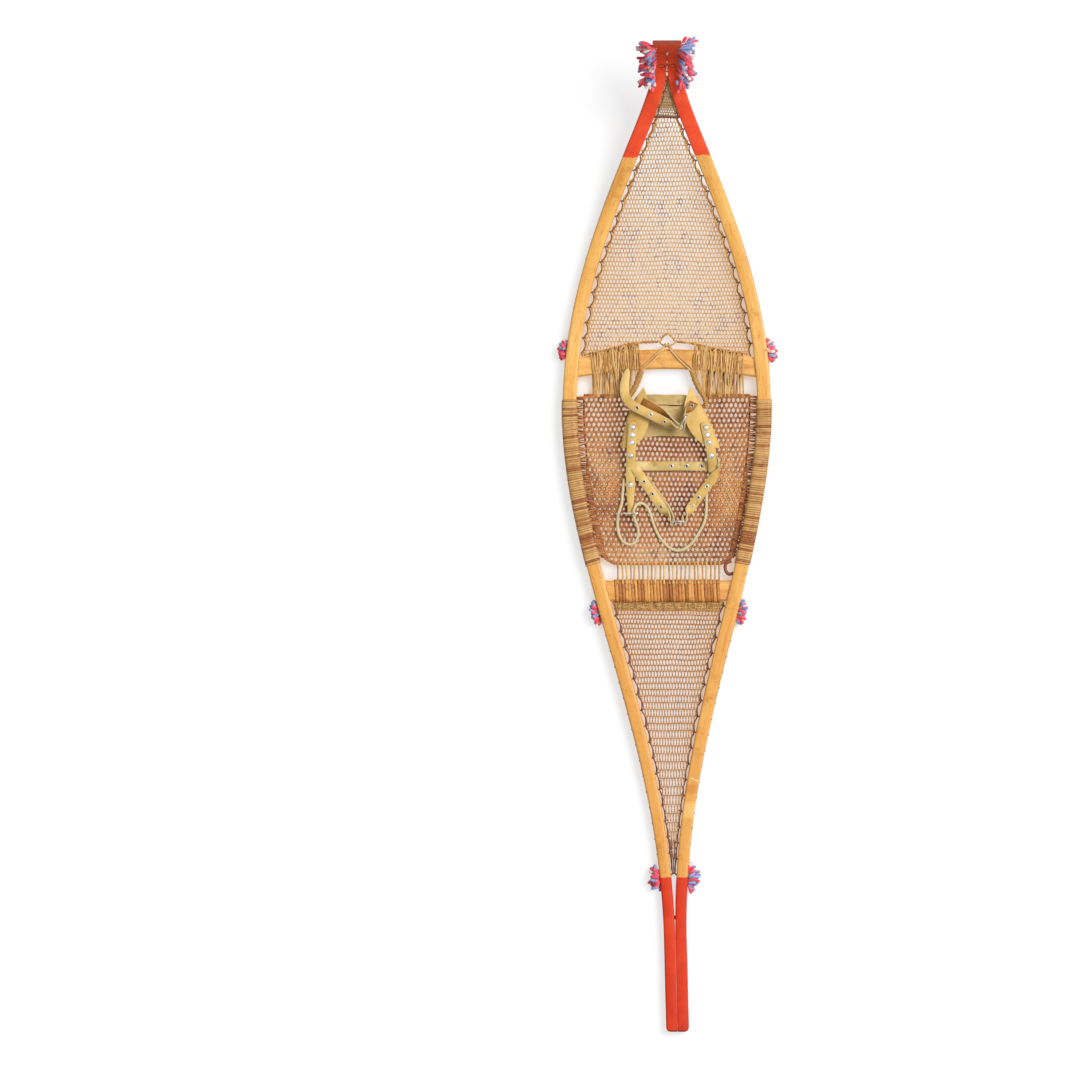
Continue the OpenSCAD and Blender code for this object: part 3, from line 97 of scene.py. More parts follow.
def rise(y):
    """Height that the upswept toe has gained at y."""
    if y <= SWEEP_START_Y:
        return 0.0
    if y <= CURL_START_Y:
        return SWEEP_R * (1 - math.cos(slope(y)))
    if y <= TIP_START_Y:
        return SWEEP_RISE + CURL_R * (math.cos(SWEEP_A) - math.cos(slope(y)))
    return CURL_RISE + (y - TIP_START_Y) * math.tan(TIP_A)


def along_stave(y, middle, toe, tail):
    """A stave's size at y, easing from the crossbars to its toe and tail."""
    if y > FRONT_BAR_Y:
        return mix(middle, toe, ease((y - FRONT_BAR_Y) / (NOSE_Y - FRONT_BAR_Y)))
    return mix(middle, tail, ease((REAR_BAR_Y - y) / (REAR_BAR_Y - TAIL_CLOSE_Y)))


def stave_width(y):
    return along_stave(y, STAVE_W, TIP_W, TAIL_W)


def stave_height(y):
    return along_stave(y, STAVE_H, TIP_H, TAIL_H)


def half_width(y):
    toe_half, tail_half = TIP_W + SNUG / 2, TAIL_W + SNUG / 2
    if y >= NOSE_Y:
        return toe_half
    if y > WIDEST_Y:
        flare = math.sqrt(WIDE_HALF**2 - toe_half**2)
        return math.hypot(
            toe_half, flare * math.sin(math.pi / 2 * (NOSE_Y - y) / (NOSE_Y - WIDEST_Y)))
    t = clamp01((WIDEST_Y - y) / (WIDEST_Y - TAIL_CLOSE_Y))
    return tail_half + (WIDE_HALF - tail_half) * (1 + math.cos(math.pi * t**0.9)) / 2


def axis_x(y):
    """Middle line of the shoe, which bends sideways towards the tail."""
    bend_start = 80.0
    return TAIL_SWEEP * clamp01((bend_start - y) / (bend_start + HALF_LEN)) ** 1.3


def stave_x(side, y):
    flank = (half_width(y + 1) - half_width(y - 1)) / 2
    return axis_x(y) + side * (half_width(y) - stave_width(y) / 2 * math.hypot(1, flank))


def stave_dx(side, y):
    return (stave_x(side, y + 1) - stave_x(side, y - 1)) / 2


def face_up(y):
    """Direction square to the frame's upper face at y."""
    return np.array([0, -math.sin(slope(y)), math.cos(slope(y))])


def stave_point(side, y, u, v):
    """Point of a stave at y: u across it towards +X, v up from its underside."""
    a, dx = slope(y), stave_dx(side, y)
    across = np.array([1.0, -dx * math.cos(a) ** 2, -dx * math.cos(a) * math.sin(a)])
    across /= np.linalg.norm(across)
    base = np.array([stave_x(side, y), y, LIFT + rise(y)])
    return base + u * across + v * face_up(y)


def inside_x(side, y, gap):
    """X of a line inside a stave, gap away from its inner face."""
    return stave_x(side, y) - side * (stave_width(y) / 2 + gap) * math.hypot(1, stave_dx(side, y))


def front_bar_line(x):
    reach = abs(inside_x(RIGHT, FRONT_BAR_Y, 0))
    return FRONT_BAR_Y + FRONT_BAR_BOW * (1 - (x / reach) ** 2)


# Height and lean of the nets, which lie at half the staves' height along the upswept toe
NET_RUN = np.linspace(FRONT_BAR_Y, NOSE_Y, 90)
NET_Y = np.array([y - math.sin(slope(y)) * stave_height(y) / 2 for y in NET_RUN])
NET_Z = np.array([LIFT + rise(y) + math.cos(slope(y)) * stave_height(y) / 2 for y in NET_RUN])


def net_z(y):
    return float(np.interp(y, NET_Y, NET_Z))


def net_up(y):
    lean = net_z(y + 1) - net_z(y - 1)
    up = np.array([0, -lean / 2, 1.0])
    return up / np.linalg.norm(up)


# Mesh making


def unit(v):
    v = np.asarray(v, float)
    return v / np.maximum(np.linalg.norm(v, axis=-1, keepdims=True), 1e-9)


ROUNDING_PASSES = 2


def rounded(stops):
    """Corner cutting on a run of stops, which keeps its two ends."""
    run = np.asarray(stops, float)
    for _ in range(ROUNDING_PASSES):
        near, far = run[:-1] * 0.75 + run[1:] * 0.25, run[:-1] * 0.25 + run[1:] * 0.75
        cut = np.empty((2 * len(near), run.shape[1]))
        cut[0::2], cut[1::2] = near, far
        run = np.vstack([run[:1], cut[1:-1], run[-1:]])
    return run


def along(run, places, values):
    """Value at each point of a run, from values at places between 0 and 1."""
    return np.interp(np.linspace(0, 1, len(run)), places, values)


def distances(points):
    """Distance of each point from the first, along the run."""
    return np.concatenate([[0], np.cumsum(np.linalg.norm(np.diff(points, axis=0), axis=1))])


def resampled(points, step):
    """Points of a run at an even spacing."""
    points = np.asarray(points, float)
    far = distances(points[:, :3])
    wanted = np.linspace(0, far[-1], max(2, int(round(far[-1] / step)) + 1))
    return np.stack([np.interp(wanted, far, column) for column in points.T], axis=1)


def oval_rings(points, width, height, sides, up):
    """Rings of an oval cord; width, height and up are one value, or one for each point."""
    points = np.asarray(points, float)
    ahead = unit(np.gradient(points, axis=0))
    up = np.broadcast_to(np.asarray(up, float), points.shape)
    across = unit(np.cross(ahead, up))
    up = np.cross(across, ahead)
    turn = np.linspace(0, 2 * math.pi, sides, endpoint=False)
    wide = np.broadcast_to(np.asarray(width, float) / 2, len(points))[:, None, None]
    high = np.broadcast_to(np.asarray(height, float) / 2, len(points))[:, None, None]
    return (points[:, None] + wide * np.cos(turn)[None, :, None] * across[:, None]
            + high * np.sin(turn)[None, :, None] * up[:, None])


class Skein:
    """Lofts gathered into the mesh of one piece."""

    def __init__(self):
        self.points, self.faces, self.uvs, self.tones, self.marks = [], [], [], [], []
        self.count = 0

    def loft(self, rings, tone=0.5, finish=0, start=0.0, ends=None, capped=True):
        """Skin over rings of equal count; finish is one number, or one for each column of faces."""
        rings = np.asarray(rings, float)
        m, n = rings.shape[:2]
        far = start + distances(rings.mean(axis=1))
        around = distances(np.vstack([rings[m // 2], rings[m // 2][:1]]))
        base = self.count
        self.points.append(rings.reshape(-1, 3))
        self.tones.append(np.repeat(np.broadcast_to(np.asarray(tone, float), m), n))
        marks = np.broadcast_to(np.asarray(finish), n)
        for i in range(m - 1):
            for j in range(n):
                k = (j + 1) % n
                self.faces.append((base + i * n + j, base + (i + 1) * n + j,
                                   base + (i + 1) * n + k, base + i * n + k))
                self.uvs += [(far[i], around[j]), (far[i + 1], around[j]),
                             (far[i + 1], around[j + 1]), (far[i], around[j + 1])]
                self.marks.append(int(marks[j]))
        if capped:
            mark = int(marks[0]) if ends is None else ends
            for i, order in ((0, range(n)), (m - 1, range(n - 1, -1, -1))):
                self.faces.append(tuple(base + i * n + j for j in order))
                self.uvs += [(far[i], around[j]) for j in order]
                self.marks.append(mark)
        self.count += m * n

    def cord(self, points, width, height, sides=6, up=(0, 0, 1), tone=0.5, finish=0, start=0.0):
        self.loft(oval_rings(points, width, height, sides, up), tone, finish, start)

    def grid(self, sheet, thickness, finishes):
        """Sheet through a grid of points, with finishes for its far side, near side and rim."""
        sheet = np.asarray(sheet, float)
        m, n = sheet.shape[:2]
        normal = unit(np.cross(np.gradient(sheet, axis=1), np.gradient(sheet, axis=0)))
        base = self.count
        both = np.concatenate([(sheet - normal * thickness / 2).reshape(-1, 3),
                               (sheet + normal * thickness / 2).reshape(-1, 3)])
        self.points.append(both)
        self.tones.append(np.full(len(both), 0.5))
        flat = [(i * n + j, i * n + j + 1, (i + 1) * n + j + 1, (i + 1) * n + j)
                for i in range(m - 1) for j in range(n - 1)]
        rim = ([j for j in range(n - 1)] + [i * n + n - 1 for i in range(m - 1)]
               + [(m - 1) * n + j for j in range(n - 1, 0, -1)]
               + [i * n for i in range(m - 1, 0, -1)])
        sides = [(flat, 0, finishes[0]), ([tuple(reversed(f)) for f in flat], m * n, finishes[1])]
        for faces, shift, mark in sides:
            for f in faces:
                self.faces.append(tuple(base + shift + k for k in f))
                self.uvs += [tuple(both[shift + k][:2]) for k in f]
                self.marks.append(mark)
        for a, b in zip(rim, rim[1:] + rim[:1]):
            self.faces.append((base + b, base + a, base + a + m * n, base + b + m * n))
            self.uvs += [tuple(both[k][:2]) for k in (b, a, a, b)]
            self.marks.append(finishes[2])
        self.count += 2 * m * n

    def piece(self, name, finishes, slot, body="snowshoe", nodes=(), sharp=None):
        """The mesh as an object that rides on a body, or on none yet where body is None."""
        mesh = bpy.data.meshes.new(name)
        mesh.from_pydata((np.vstack(self.points) * MM).tolist(), [], self.faces)
        layer = mesh.uv_layers.new(name="run")
        layer.data.foreach_set("uv", (np.asarray(self.uvs) * MM).astype(np.float32).ravel())
        tone = mesh.attributes.new("tone", "FLOAT", "POINT")
        tone.data.foreach_set("value", np.concatenate(self.tones).astype(np.float32))
        for finish in finishes:
            mesh.materials.append(finish)
        mesh.polygons.foreach_set("material_index", np.asarray(self.marks, np.int32))
        mesh.polygons.foreach_set("use_smooth", np.ones(len(self.faces), bool))
        shell = bmesh.new()
        shell.from_mesh(mesh)
        bmesh.ops.recalc_face_normals(shell, faces=shell.faces)
        shell.to_mesh(mesh)
        shell.free()
        if sharp:
            mesh.set_sharp_from_angle(angle=math.radians(sharp))
        made = bpy.data.objects.new(name, mesh)
        bpy.context.scene.collection.objects.link(made)
        if body:
            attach(made, body)
        if nodes:
            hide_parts(*nodes)
        return made


# Finishes


def tint(code):
    """A colour written as hexadecimal sRGB, in linear light."""
    parts = [int(code[i:i + 2], 16) / 255 for i in (1, 3, 5)]
    return tuple(p / 12.92 if p < 0.04045 else ((p + 0.055) / 1.055) ** 2.4 for p in parts) + (1.0,)


class Signal:
    """Socket of a finish that takes part in shader maths."""

    def __init__(self, finish, socket):
        self.finish, self.socket = finish, socket

    def maths(self, operation, a, b=0.0):
        return self.finish.node("ShaderNodeMath", {"operation": operation}, {0: a, 1: b})

    def __add__(self, other):
        return self.maths("ADD", self, other)

    def __radd__(self, other):
        return self.maths("ADD", other, self)

    def __sub__(self, other):
        return self.maths("SUBTRACT", self, other)

    def __rsub__(self, other):
        return self.maths("SUBTRACT", other, self)

    def __mul__(self, other):
        return self.maths("MULTIPLY", self, other)

    def __rmul__(self, other):
        return self.maths("MULTIPLY", other, self)

    def __abs__(self):
        return self.maths("ABSOLUTE", self)

    def held(self):
        """The value kept between 0 and 1."""
        return self.finish.node("ShaderNodeClamp", {}, {"Value": self})


class NodeTree:
    """Nodes of a material or of the world."""

    def __init__(self, tree):
        self.tree = tree

    def node(self, kind, settings=None, sockets=None, out=0):
        made = self.tree.nodes.new(kind)
        for name, value in (settings or {}).items():
            if name == "stops":
                ramp = made.color_ramp
                while len(ramp.elements) < len(value):
                    ramp.elements.new(0.5)
                for element, (place, colour) in zip(ramp.elements, value):
                    element.position, element.color = place, colour
            else:
                setattr(made, name, value)
        for key, value in (sockets or {}).items():
            if isinstance(value, Signal):
                self.tree.links.new(value.socket, made.inputs[key])
            else:
                made.inputs[key].default_value = value
        return Signal(self, made.outputs[out])

    def seen_rays(self):
        """1 for what the camera sees itself, in metal or through glass."""
        rays = [self.node("ShaderNodeLightPath", out=name) for name in
                ("Is Camera Ray", "Is Glossy Ray", "Is Transmission Ray")]
        return (rays[0] + rays[1] + rays[2]).held()


class Finish(NodeTree):
    """One material's nodes; constants go straight on the shader's sockets."""

    def __init__(self, name, **constants):
        self.material = bpy.data.materials.new(name)
        self.material.use_nodes = True
        super().__init__(self.material.node_tree)
        self.shader = self.tree.nodes["Principled BSDF"]
        for socket, value in constants.items():
            self.shader.inputs[socket.replace("_", " ")].default_value = value

    def place(self, kind="Object"):
        return self.node("ShaderNodeTexCoord", out=kind)

    def stretched(self, vector, scale):
        return self.node("ShaderNodeMapping", {}, {"Vector": vector, "Scale": scale})

    def axis(self, vector, name):
        return self.node("ShaderNodeSeparateXYZ", {}, {"Vector": vector}, out=name)

    def tone(self):
        return self.node("ShaderNodeAttribute", {"attribute_name": "tone"}, out="Fac")

    def noise(self, vector, scale, detail=3.0, roughness=0.55):
        return self.node("ShaderNodeTexNoise", {}, {
            "Vector": vector, "Scale": scale, "Detail": detail, "Roughness": roughness})

    def ramp(self, value, *stops):
        return self.node("ShaderNodeValToRGB", {"stops": stops}, {"Fac": value})

    def grade(self, value, *stops):
        """Plain number that follows value through stops of (place, number)."""
        return self.ramp(value, *((p, (v, v, v, 1.0)) for p, v in stops))

    def blend(self, factor, a, b):
        """Colour a that turns into b as factor goes from 0 to 1."""
        factor_in, a_in, b_in, colour_out = 0, 6, 7, 2
        return self.node("ShaderNodeMix", {"data_type": "RGBA"},
                         {factor_in: factor, a_in: a, b_in: b}, out=colour_out)

    def bump(self, height, strength, distance):
        return self.node("ShaderNodeBump", {}, {
            "Height": height, "Strength": strength, "Distance": distance})

    def surface(self, **signals):
        for socket, signal in signals.items():
            self.tree.links.new(signal.socket, self.shader.inputs[socket.replace("_", " ")])
        return self.material


def wood_signals(finish, run, place, stretch):
    """Colour and grain of honey-coloured varnished ash along a run."""
    grain = finish.noise(finish.stretched(run, stretch), 1.0, 4.0, 0.6)
    cloud = finish.noise(place, 9.0, 2.0)
    speck = finish.noise(place, 260.0, 2.0)
    dash = finish.noise(finish.stretched(run, tuple(s * 7 for s in stretch)), 1.0, 2.0)
    colour = finish.ramp(grain * 0.55 + cloud * 0.45,
                         (0.32, tint("#d48d38")), (0.45, tint("#e9a94f")),
                         (0.57, tint("#f3ba62")), (0.7, tint("#fbd187")))
    warm = ((0.25 - finish.axis(place, "Y")) * 1.1).held()
    colour = finish.blend(warm * 0.8, colour, tint("#de9540"))
    streak = finish.noise(finish.stretched(run, tuple(s * 0.45 for s in stretch)), 1.0, 5.0, 0.7)
    colour = finish.blend(finish.grade(streak, (0.54, 0.0), (0.72, 0.65)), colour, tint("#c27a2e"))
    colour = finish.blend(finish.grade(dash, (0.56, 0.0), (0.7, 0.55)), colour, tint("#b8722b"))
    stain = finish.grade(finish.noise(place, 24.0, 5.0, 0.75), (0.55, 0.0), (0.7, 0.7))
    colour = finish.blend(stain, colour, tint("#bf7a2c"))
    dot = finish.grade(speck, (0.63, 0.0), (0.75, 0.45))
    return finish.blend(dot, colour, tint("#a05f26")), grain


# Where the staves are painted, rubbed and marked, in metres; a band is its middle and half length
TOE_PAINT_Y, TAIL_PAINT_Y, RUBBED_TOE_Y, RUBBED_TAIL_Y = 0.554, -0.497, 0.7, -0.7197
RIGHT_STAVE_X, DARK_BAND, PALE_BAND = 0.02, (-0.3685, 0.0085), (-0.3995, 0.0145)
SCUFF_START, SCUFF_LEAN, SCUFF_HALF, SCUFF_EDGE_X = (0.0358, -0.3526), 0.44, 0.0008, 0.034


def stave_finish():
    f = Finish("varnished_stave", Coat_Roughness=0.25, Specular_IOR_Level=0.3)
    place, run = f.place(), f.place("UV")
    wood, grain = wood_signals(f, run, place, (7.0, 130.0, 1.0))
    x, y = f.axis(place, "X"), f.axis(place, "Y")
    ragged = (f.noise(place, 130.0, 2.0) - 0.5) * 0.006
    right = ((x - RIGHT_STAVE_X) * 900).held()
    darker = ((DARK_BAND[1] - abs(y - DARK_BAND[0])) * 300).held() * right
    paler = ((PALE_BAND[1] - abs(y - PALE_BAND[0])) * 150).held() * right
    scuff_line = y - SCUFF_START[1] + SCUFF_LEAN * (x - SCUFF_START[0]) + ragged * 0.4
    scuff = ((SCUFF_HALF - abs(scuff_line)) * 3000).held() * ((x - SCUFF_EDGE_X) * 900).held()
    wood = f.blend(darker * 0.55, wood, tint("#cf7f2c"))
    wood = f.blend(paler * 0.5, wood, tint("#fbd080"))
    wood = f.blend(scuff, wood, tint("#f8dcaa"))
    toe_edge = TOE_PAINT_Y + 0.03 * x
    toe = ((y + ragged - toe_edge) * 700).held()
    tail = ((TAIL_PAINT_Y - y + ragged) * 700).held()
    upward = f.axis(f.place("Normal"), "Z")
    end_face = ((upward - 0.5) * 5).held() * ((y - RUBBED_TOE_Y) * 900).held()
    rubbed = end_face * 1.1 + ((RUBBED_TAIL_Y - y + ragged) * 900).held()
    painted = (toe + tail).held()
    cloud = f.noise(place, 34.0, 4.0, 0.6)
    # The toe's red is lighter than the tail's: painted light on the upswept toe
    toe_paint_with_painted_light = f.ramp(cloud, (0.3, tint("#de431f")), (0.55, tint("#f2502a")),
                       (0.75, tint("#f7623a")))
    tail_paint = f.ramp(cloud, (0.3, tint("#c42a06")), (0.55, tint("#d73408")),
                        (0.75, tint("#dd4414")))
    paint = f.blend(tail, toe_paint_with_painted_light, tail_paint)
    worn = f.grade(f.noise(place, 210.0, 5.0, 0.7), (0.66, 0.0), (0.78, 0.55))
    paint = f.blend(worn, paint, tint("#a93a20"))
    paint = f.blend(rubbed.held() * 0.85, paint, tint("#7c3822"))
    return f.surface(
        Base_Color=f.blend(painted, wood, paint),
        Roughness=0.38 + painted * 0.16 + (cloud - 0.5) * 0.2,
        Coat_Weight=(1 - painted) * 0.35,
        Normal=f.bump(grain * 0.6 + cloud * 0.4, 0.25, 0.0006))


def bar_finish():
    f = Finish("varnished_crossbar", Coat_Roughness=0.25, Coat_Weight=0.35)
    place = f.place()
    wood, grain = wood_signals(f, place, place, (7.0, 130.0, 130.0))
    flame = f.noise(f.stretched(place, (14.0, 60.0, 60.0)), 1.0, 3.0)
    return f.surface(
        Base_Color=f.blend(f.grade(flame, (0.5, 0.0), (0.68, 0.8)), wood, tint("#b5651f")),
        Roughness=0.3 + grain * 0.2,
        Normal=f.bump(grain, 0.25, 0.0005))


def lace_finish(name, dark, middle, light, stain, roughness, stained, flank=0.0, cloud=0.0):
    """Dried rawhide: each strand has a tone of its own and is mottled along its run; flank darkens
    its sides by the way they face, as painted shade, and cloud is the strength of dark patches as
    broad as a hand, placed by noise."""
    f = Finish(name, Specular_IOR_Level=0.45)
    place, run, tone = f.place(), f.place("UV"), f.tone()
    fibre = f.noise(f.stretched(run, (160.0, 1400.0, 1.0)), 1.0, 3.0)
    patch = f.noise(place, 42.0, 3.0, 0.6)
    fleck = f.noise(place, 190.0, 3.0, 0.6)
    shade = tone * 0.5 + patch * 0.3 + fibre * 0.2
    colour = f.ramp(shade, (0.25, tint(dark)), (0.5, tint(middle)), (0.75, tint(light)))
    spot = f.grade(patch * 0.45 + fleck * 0.55, (0.5, 0.0), (0.64, stained))
    # Painted shade: the sides of each strand, found by its normals, take the stain colour
    if flank:
        upward = f.axis(f.place("Normal"), "Z")
        spot = (spot + (1 - upward * upward) * flank * (0.4 + patch)).held()
    if cloud:
        spot = (spot + f.grade(f.noise(place, 17.0, 3.0, 0.6), (0.48, 0.0), (0.68, cloud))).held()
    return f.surface(
        Base_Color=f.blend(spot, colour, tint(stain)),
        Roughness=roughness + (fibre - 0.5) * 0.25,
        Normal=f.bump(fibre * 0.7 + fleck * 0.3, 0.35, 0.0004))


def leather_finish(name, dark, middle, light, crease, roughness, nap):
    """Leather with pores and creases; nap raises a suede side's fibres."""
    sheen, pore_scale, relief = (0.25, 900.0, 0.55) if nap else (0.0, 1500.0, 0.3)
    f = Finish(name, Specular_IOR_Level=0.3, Sheen_Weight=sheen, Sheen_Roughness=0.5)
    place = f.place()
    cloud = f.noise(place, 26.0, 4.0, 0.6)
    pore = f.noise(place, pore_scale, 3.0, 0.6)
    fold = f.noise(place, 75.0, 5.0, 0.65)
    colour = f.ramp(cloud * 0.7 + pore * 0.3, (0.3, tint(dark)), (0.5, tint(middle)),
                    (0.7, tint(light)))
    mark = f.grade(fold, (0.56, 0.0), (0.72, 0.7))
    return f.surface(
        Base_Color=f.blend(mark, colour, tint(crease)),
        Roughness=roughness + (pore - 0.5) * 0.2,
        Normal=f.bump(fold * 0.5 + pore * 0.5, relief, 0.0005))


def yarn_finish(name, dark, light):
    f = Finish(name, Roughness=0.95, Sheen_Weight=0.5, Sheen_Roughness=0.5, Specular_IOR_Level=0.1)
    run, tone = f.place("UV"), f.tone()
    ply = f.noise(f.stretched(run, (900.0, 700.0, 1.0)), 1.0, 2.0)
    colour = f.ramp(tone * 0.5 + ply * 0.5, (0.25, tint(dark)), (0.7, tint(light)))
    return f.surface(Base_Color=colour, Normal=f.bump(ply, 0.6, 0.0006))


def nickel_finish():
    f = Finish("nickel_plate", Metallic=1.0)
    place = f.place()
    rub = f.noise(place, 420.0, 4.0, 0.65)
    tarnish = f.noise(place, 150.0, 2.0)
    colour = f.ramp(tarnish, (0.35, tint("#a79f90")), (0.6, tint("#d4d0c8")))
    return f.surface(Base_Color=colour, Roughness=0.18 + rub * 0.28,
                     Normal=f.bump(rub, 0.12, 0.0003))


# Near-black painted shade, for the plugs in eyelet holes and the strip in the toe piece's slit
def painted_shade_finish():
    f = Finish("painted_hole_shade", Roughness=0.9)
    shade_mottle = f.noise(f.place(), 600.0, 2.0)
    return f.surface(Base_Color=f.ramp(shade_mottle, (0.3, tint("#0d0a08")), (0.7, tint("#231a12"))))


def lashing_finish():
    """Dark thong, painted over with the toe except beside the seam."""
    f = Finish("toe_lashing_thong", Roughness=0.5, Specular_IOR_Level=0.35)
    place = f.place()
    fleck = f.noise(place, 190.0, 3.0, 0.6)
    bare = ((0.015 - abs(f.axis(place, "X")) + (fleck - 0.5) * 0.004) * 900).held()
    thong = f.ramp(fleck, (0.35, tint("#4a1710")), (0.65, tint("#7c3222")))
    paint = f.ramp(fleck, (0.35, tint("#c23a1e")), (0.65, tint("#e04a28")))
    return f.surface(Base_Color=f.blend(bare, paint, thong), Normal=f.bump(fleck, 0.3, 0.0004))


STAVE_FINISH = stave_finish()
BAR_FINISH = bar_finish()
NET_FINISH = lace_finish("fine_rawhide", "#b47a2c", "#e6ac54", "#fcdc96", "#80300a",
                         0.45, 0.85, 0.25)
TAIL_NET_FINISH = lace_finish("tail_rawhide", "#8e5420", "#c6843c", "#e8b872", "#74380f",
                              0.45, 0.6, 0.42)
CENTRE_FINISH = lace_finish("red_rawhide", "#8c461c", "#cc8039", "#f6c680", "#662410",
                            0.42, 0.6, 0.68, 0.42)
TOE_NET_FINISH = lace_finish("toe_rawhide", "#8a6a3e", "#b89464", "#dcc29a", "#76502c",
                             0.5, 0.5, 0.3)
WRAP_FINISH = lace_finish("wound_lace", "#a06a34", "#cb9a5c", "#e0b678", "#8f5626", 0.45, 0.45)
RED_WRAP_FINISH = lace_finish("red_wound_lace", "#7c3a1c", "#ab6536", "#c98a52", "#6b2a16",
                              0.45, 0.6)
BAR_LACE_FINISH = lace_finish("bar_lace", "#a06c30", "#d2a059", "#ecc584", "#8f4f22", 0.45, 0.5)
THONG_FINISH = lace_finish("dark_thong", "#4a241c", "#74443a", "#93604e", "#3a1914", 0.55, 0.4)
PALE_THONG_FINISH = lace_finish("pale_thong", "#b39a6c", "#d6c49a", "#ece0c0", "#a98d5e", 0.6, 0.25)
GRAIN_FINISH = leather_finish("grain_leather", "#c5984b", "#dcb465", "#ecca82", "#b08138",
                              0.5, False)
BROWN_FINISH = leather_finish("brown_leather", "#7c4a1c", "#a06a2c", "#bd8743", "#5e3412",
                              0.5, False)
SUEDE_FINISH = leather_finish("suede_side", "#a08553", "#c9ab6e", "#e5cb95", "#80643a", 0.9, True)
EDGE_FINISH = leather_finish("cut_edge", "#b49a63", "#d2bb87", "#e4d2a4", "#9c8250", 0.85, True)
RED_YARN = yarn_finish("red_yarn", "#ee2c48", "#ff6c7c")
BLUE_YARN = yarn_finish("blue_yarn", "#7883bd", "#abb6e4")
CREAM_YARN = yarn_finish("cream_yarn", "#f2d2c4", "#fff2ea")
NICKEL_FINISH = nickel_finish()
REAR_LACE_FINISH = lace_finish("rear_lace", "#8c4c18", "#c97f35", "#e8aa58", "#7c3a12", 0.42, 0.55)
WORN_STRAP_FINISH = leather_finish("worn_strap", "#b89a5a", "#d8b873", "#ecd296", "#9c8046",
                                   0.8, True)
PAINTED_SHADE_FINISH = painted_shade_finish()
LASHING_FINISH = lashing_finish()

# Camera straight above, far away, over the middle of the photograph's frame

FRAME_WIDTH, FRAME_MIDDLE, CAMERA_HEIGHT, SENSOR = 1.577, (-0.185, -0.005), 60.0, 36.0
camera = bpy.data.objects.new("camera", bpy.data.cameras.new("camera"))
camera.data.sensor_width = SENSOR
camera.data.lens = SENSOR * CAMERA_HEIGHT / FRAME_WIDTH
camera.data.clip_end = 4 * CAMERA_HEIGHT
camera.location = (*FRAME_MIDDLE, CAMERA_HEIGHT)
bpy.context.scene.collection.objects.link(camera)
bpy.context.scene.camera = camera

# Heel thong, from the left strap through the ring and round to the right strap

THONG_D = 4.5
THONG_ROUTE = [
    (-62.4, 84, 16.5), (-63.5, 72, 16.5), (-64.8, 60, 16.5), (-65.5, 48, 16.5), (-70, 36, 16.5),
    (-72, 25, 16.5), (-72, 14, 16.5), (-70, 3, 16.5), (-65, -7, 16.5), (-57, -12, 16.5),
    (-49, -11, 16.5), (-43, -4, 16.5), (-41, 6, 16.8), (-43, 16, 19), (-47, 25, 22.5),
    (-49, 34, 24.6), (-47, 43, 24.2), (-41, 49, 21), (-33, 48, 18), (-27, 41, 16.8),
    (-23, 31, 16.5), (-20, 20, 16.5), (-16, 9, 16.5), (-10, -2, 16.5), (-2, -12, 16.5),
    (8, -19, 16.5), (19, -21, 16.5), (30, -16, 16.5), (39, -7, 16.5), (46, 4, 16.5),
    (52, 14, 16.5), (56, 24, 16.5), (57.5, 34, 16.5), (58, 44, 16.5), (58, 54, 16.5),
    (58, 64, 16.5), (58.5, 74, 16.5), (61, 83, 16.5), (64, 90, 16.5),
]
thong_run = rounded(THONG_ROUTE)
skein = Skein()
skein.cord(thong_run, THONG_D, THONG_D, sides=10)
thong = skein.piece("heel_thong_cord", [PALE_THONG_FINISH], "pale_thong", "heel_straps",
                    ["heel_thong"])

# Staves


def soft_section(w, h, r, steps=3, far_r=None):
    """Rectangle with rounded edges, from +u towards +v; far_r is the radius of its -u edges."""
    out = []
    for cx, cy, start in ((1, -1, -90), (1, 1, 0), (-1, 1, 90), (-1, -1, 180)):
        e = r if cx > 0 or far_r is None else far_r
        for k in range(steps + 1):
            a = math.radians(start + 90 * k / steps)
            out.append((cx * (w / 2 - e) + e * math.cos(a), cy * (h / 2 - e) + e * math.sin(a)))
    return out


STRAIGHT_STEPS, SWEEP_STEPS, CURL_STEPS = 90, 36, 20
TAIL_ROUND, END_BEVEL, SEAM_EDGE, HAND_WAVE = 7.0, 0.4, 0.35, 0.22


def stave_stations():
    """Places along a stave, closer together at its round tail and in the curl of its toe."""
    tail = [-HALF_LEN + d for d in (0, 0.8, 2, 4, TAIL_ROUND)]
    straight = np.linspace(-HALF_LEN + 12, SWEEP_START_Y, STRAIGHT_STEPS, endpoint=False)
    sweep = [SWEEP_START_Y + SWEEP_R * math.sin(SWEEP_A * i / SWEEP_STEPS)
             for i in range(SWEEP_STEPS)]
    turns = [mix(SWEEP_A, TIP_A, i / CURL_STEPS) for i in range(CURL_STEPS + 1)]
    curl = [CURL_START_Y + CURL_R * (math.sin(a) - math.sin(SWEEP_A)) for a in turns]
    tip = [mix(TIP_START_Y, HALF_LEN, 0.5), HALF_LEN - END_BEVEL, HALF_LEN]
    return [*tail, *straight, *sweep, *curl, *tip]


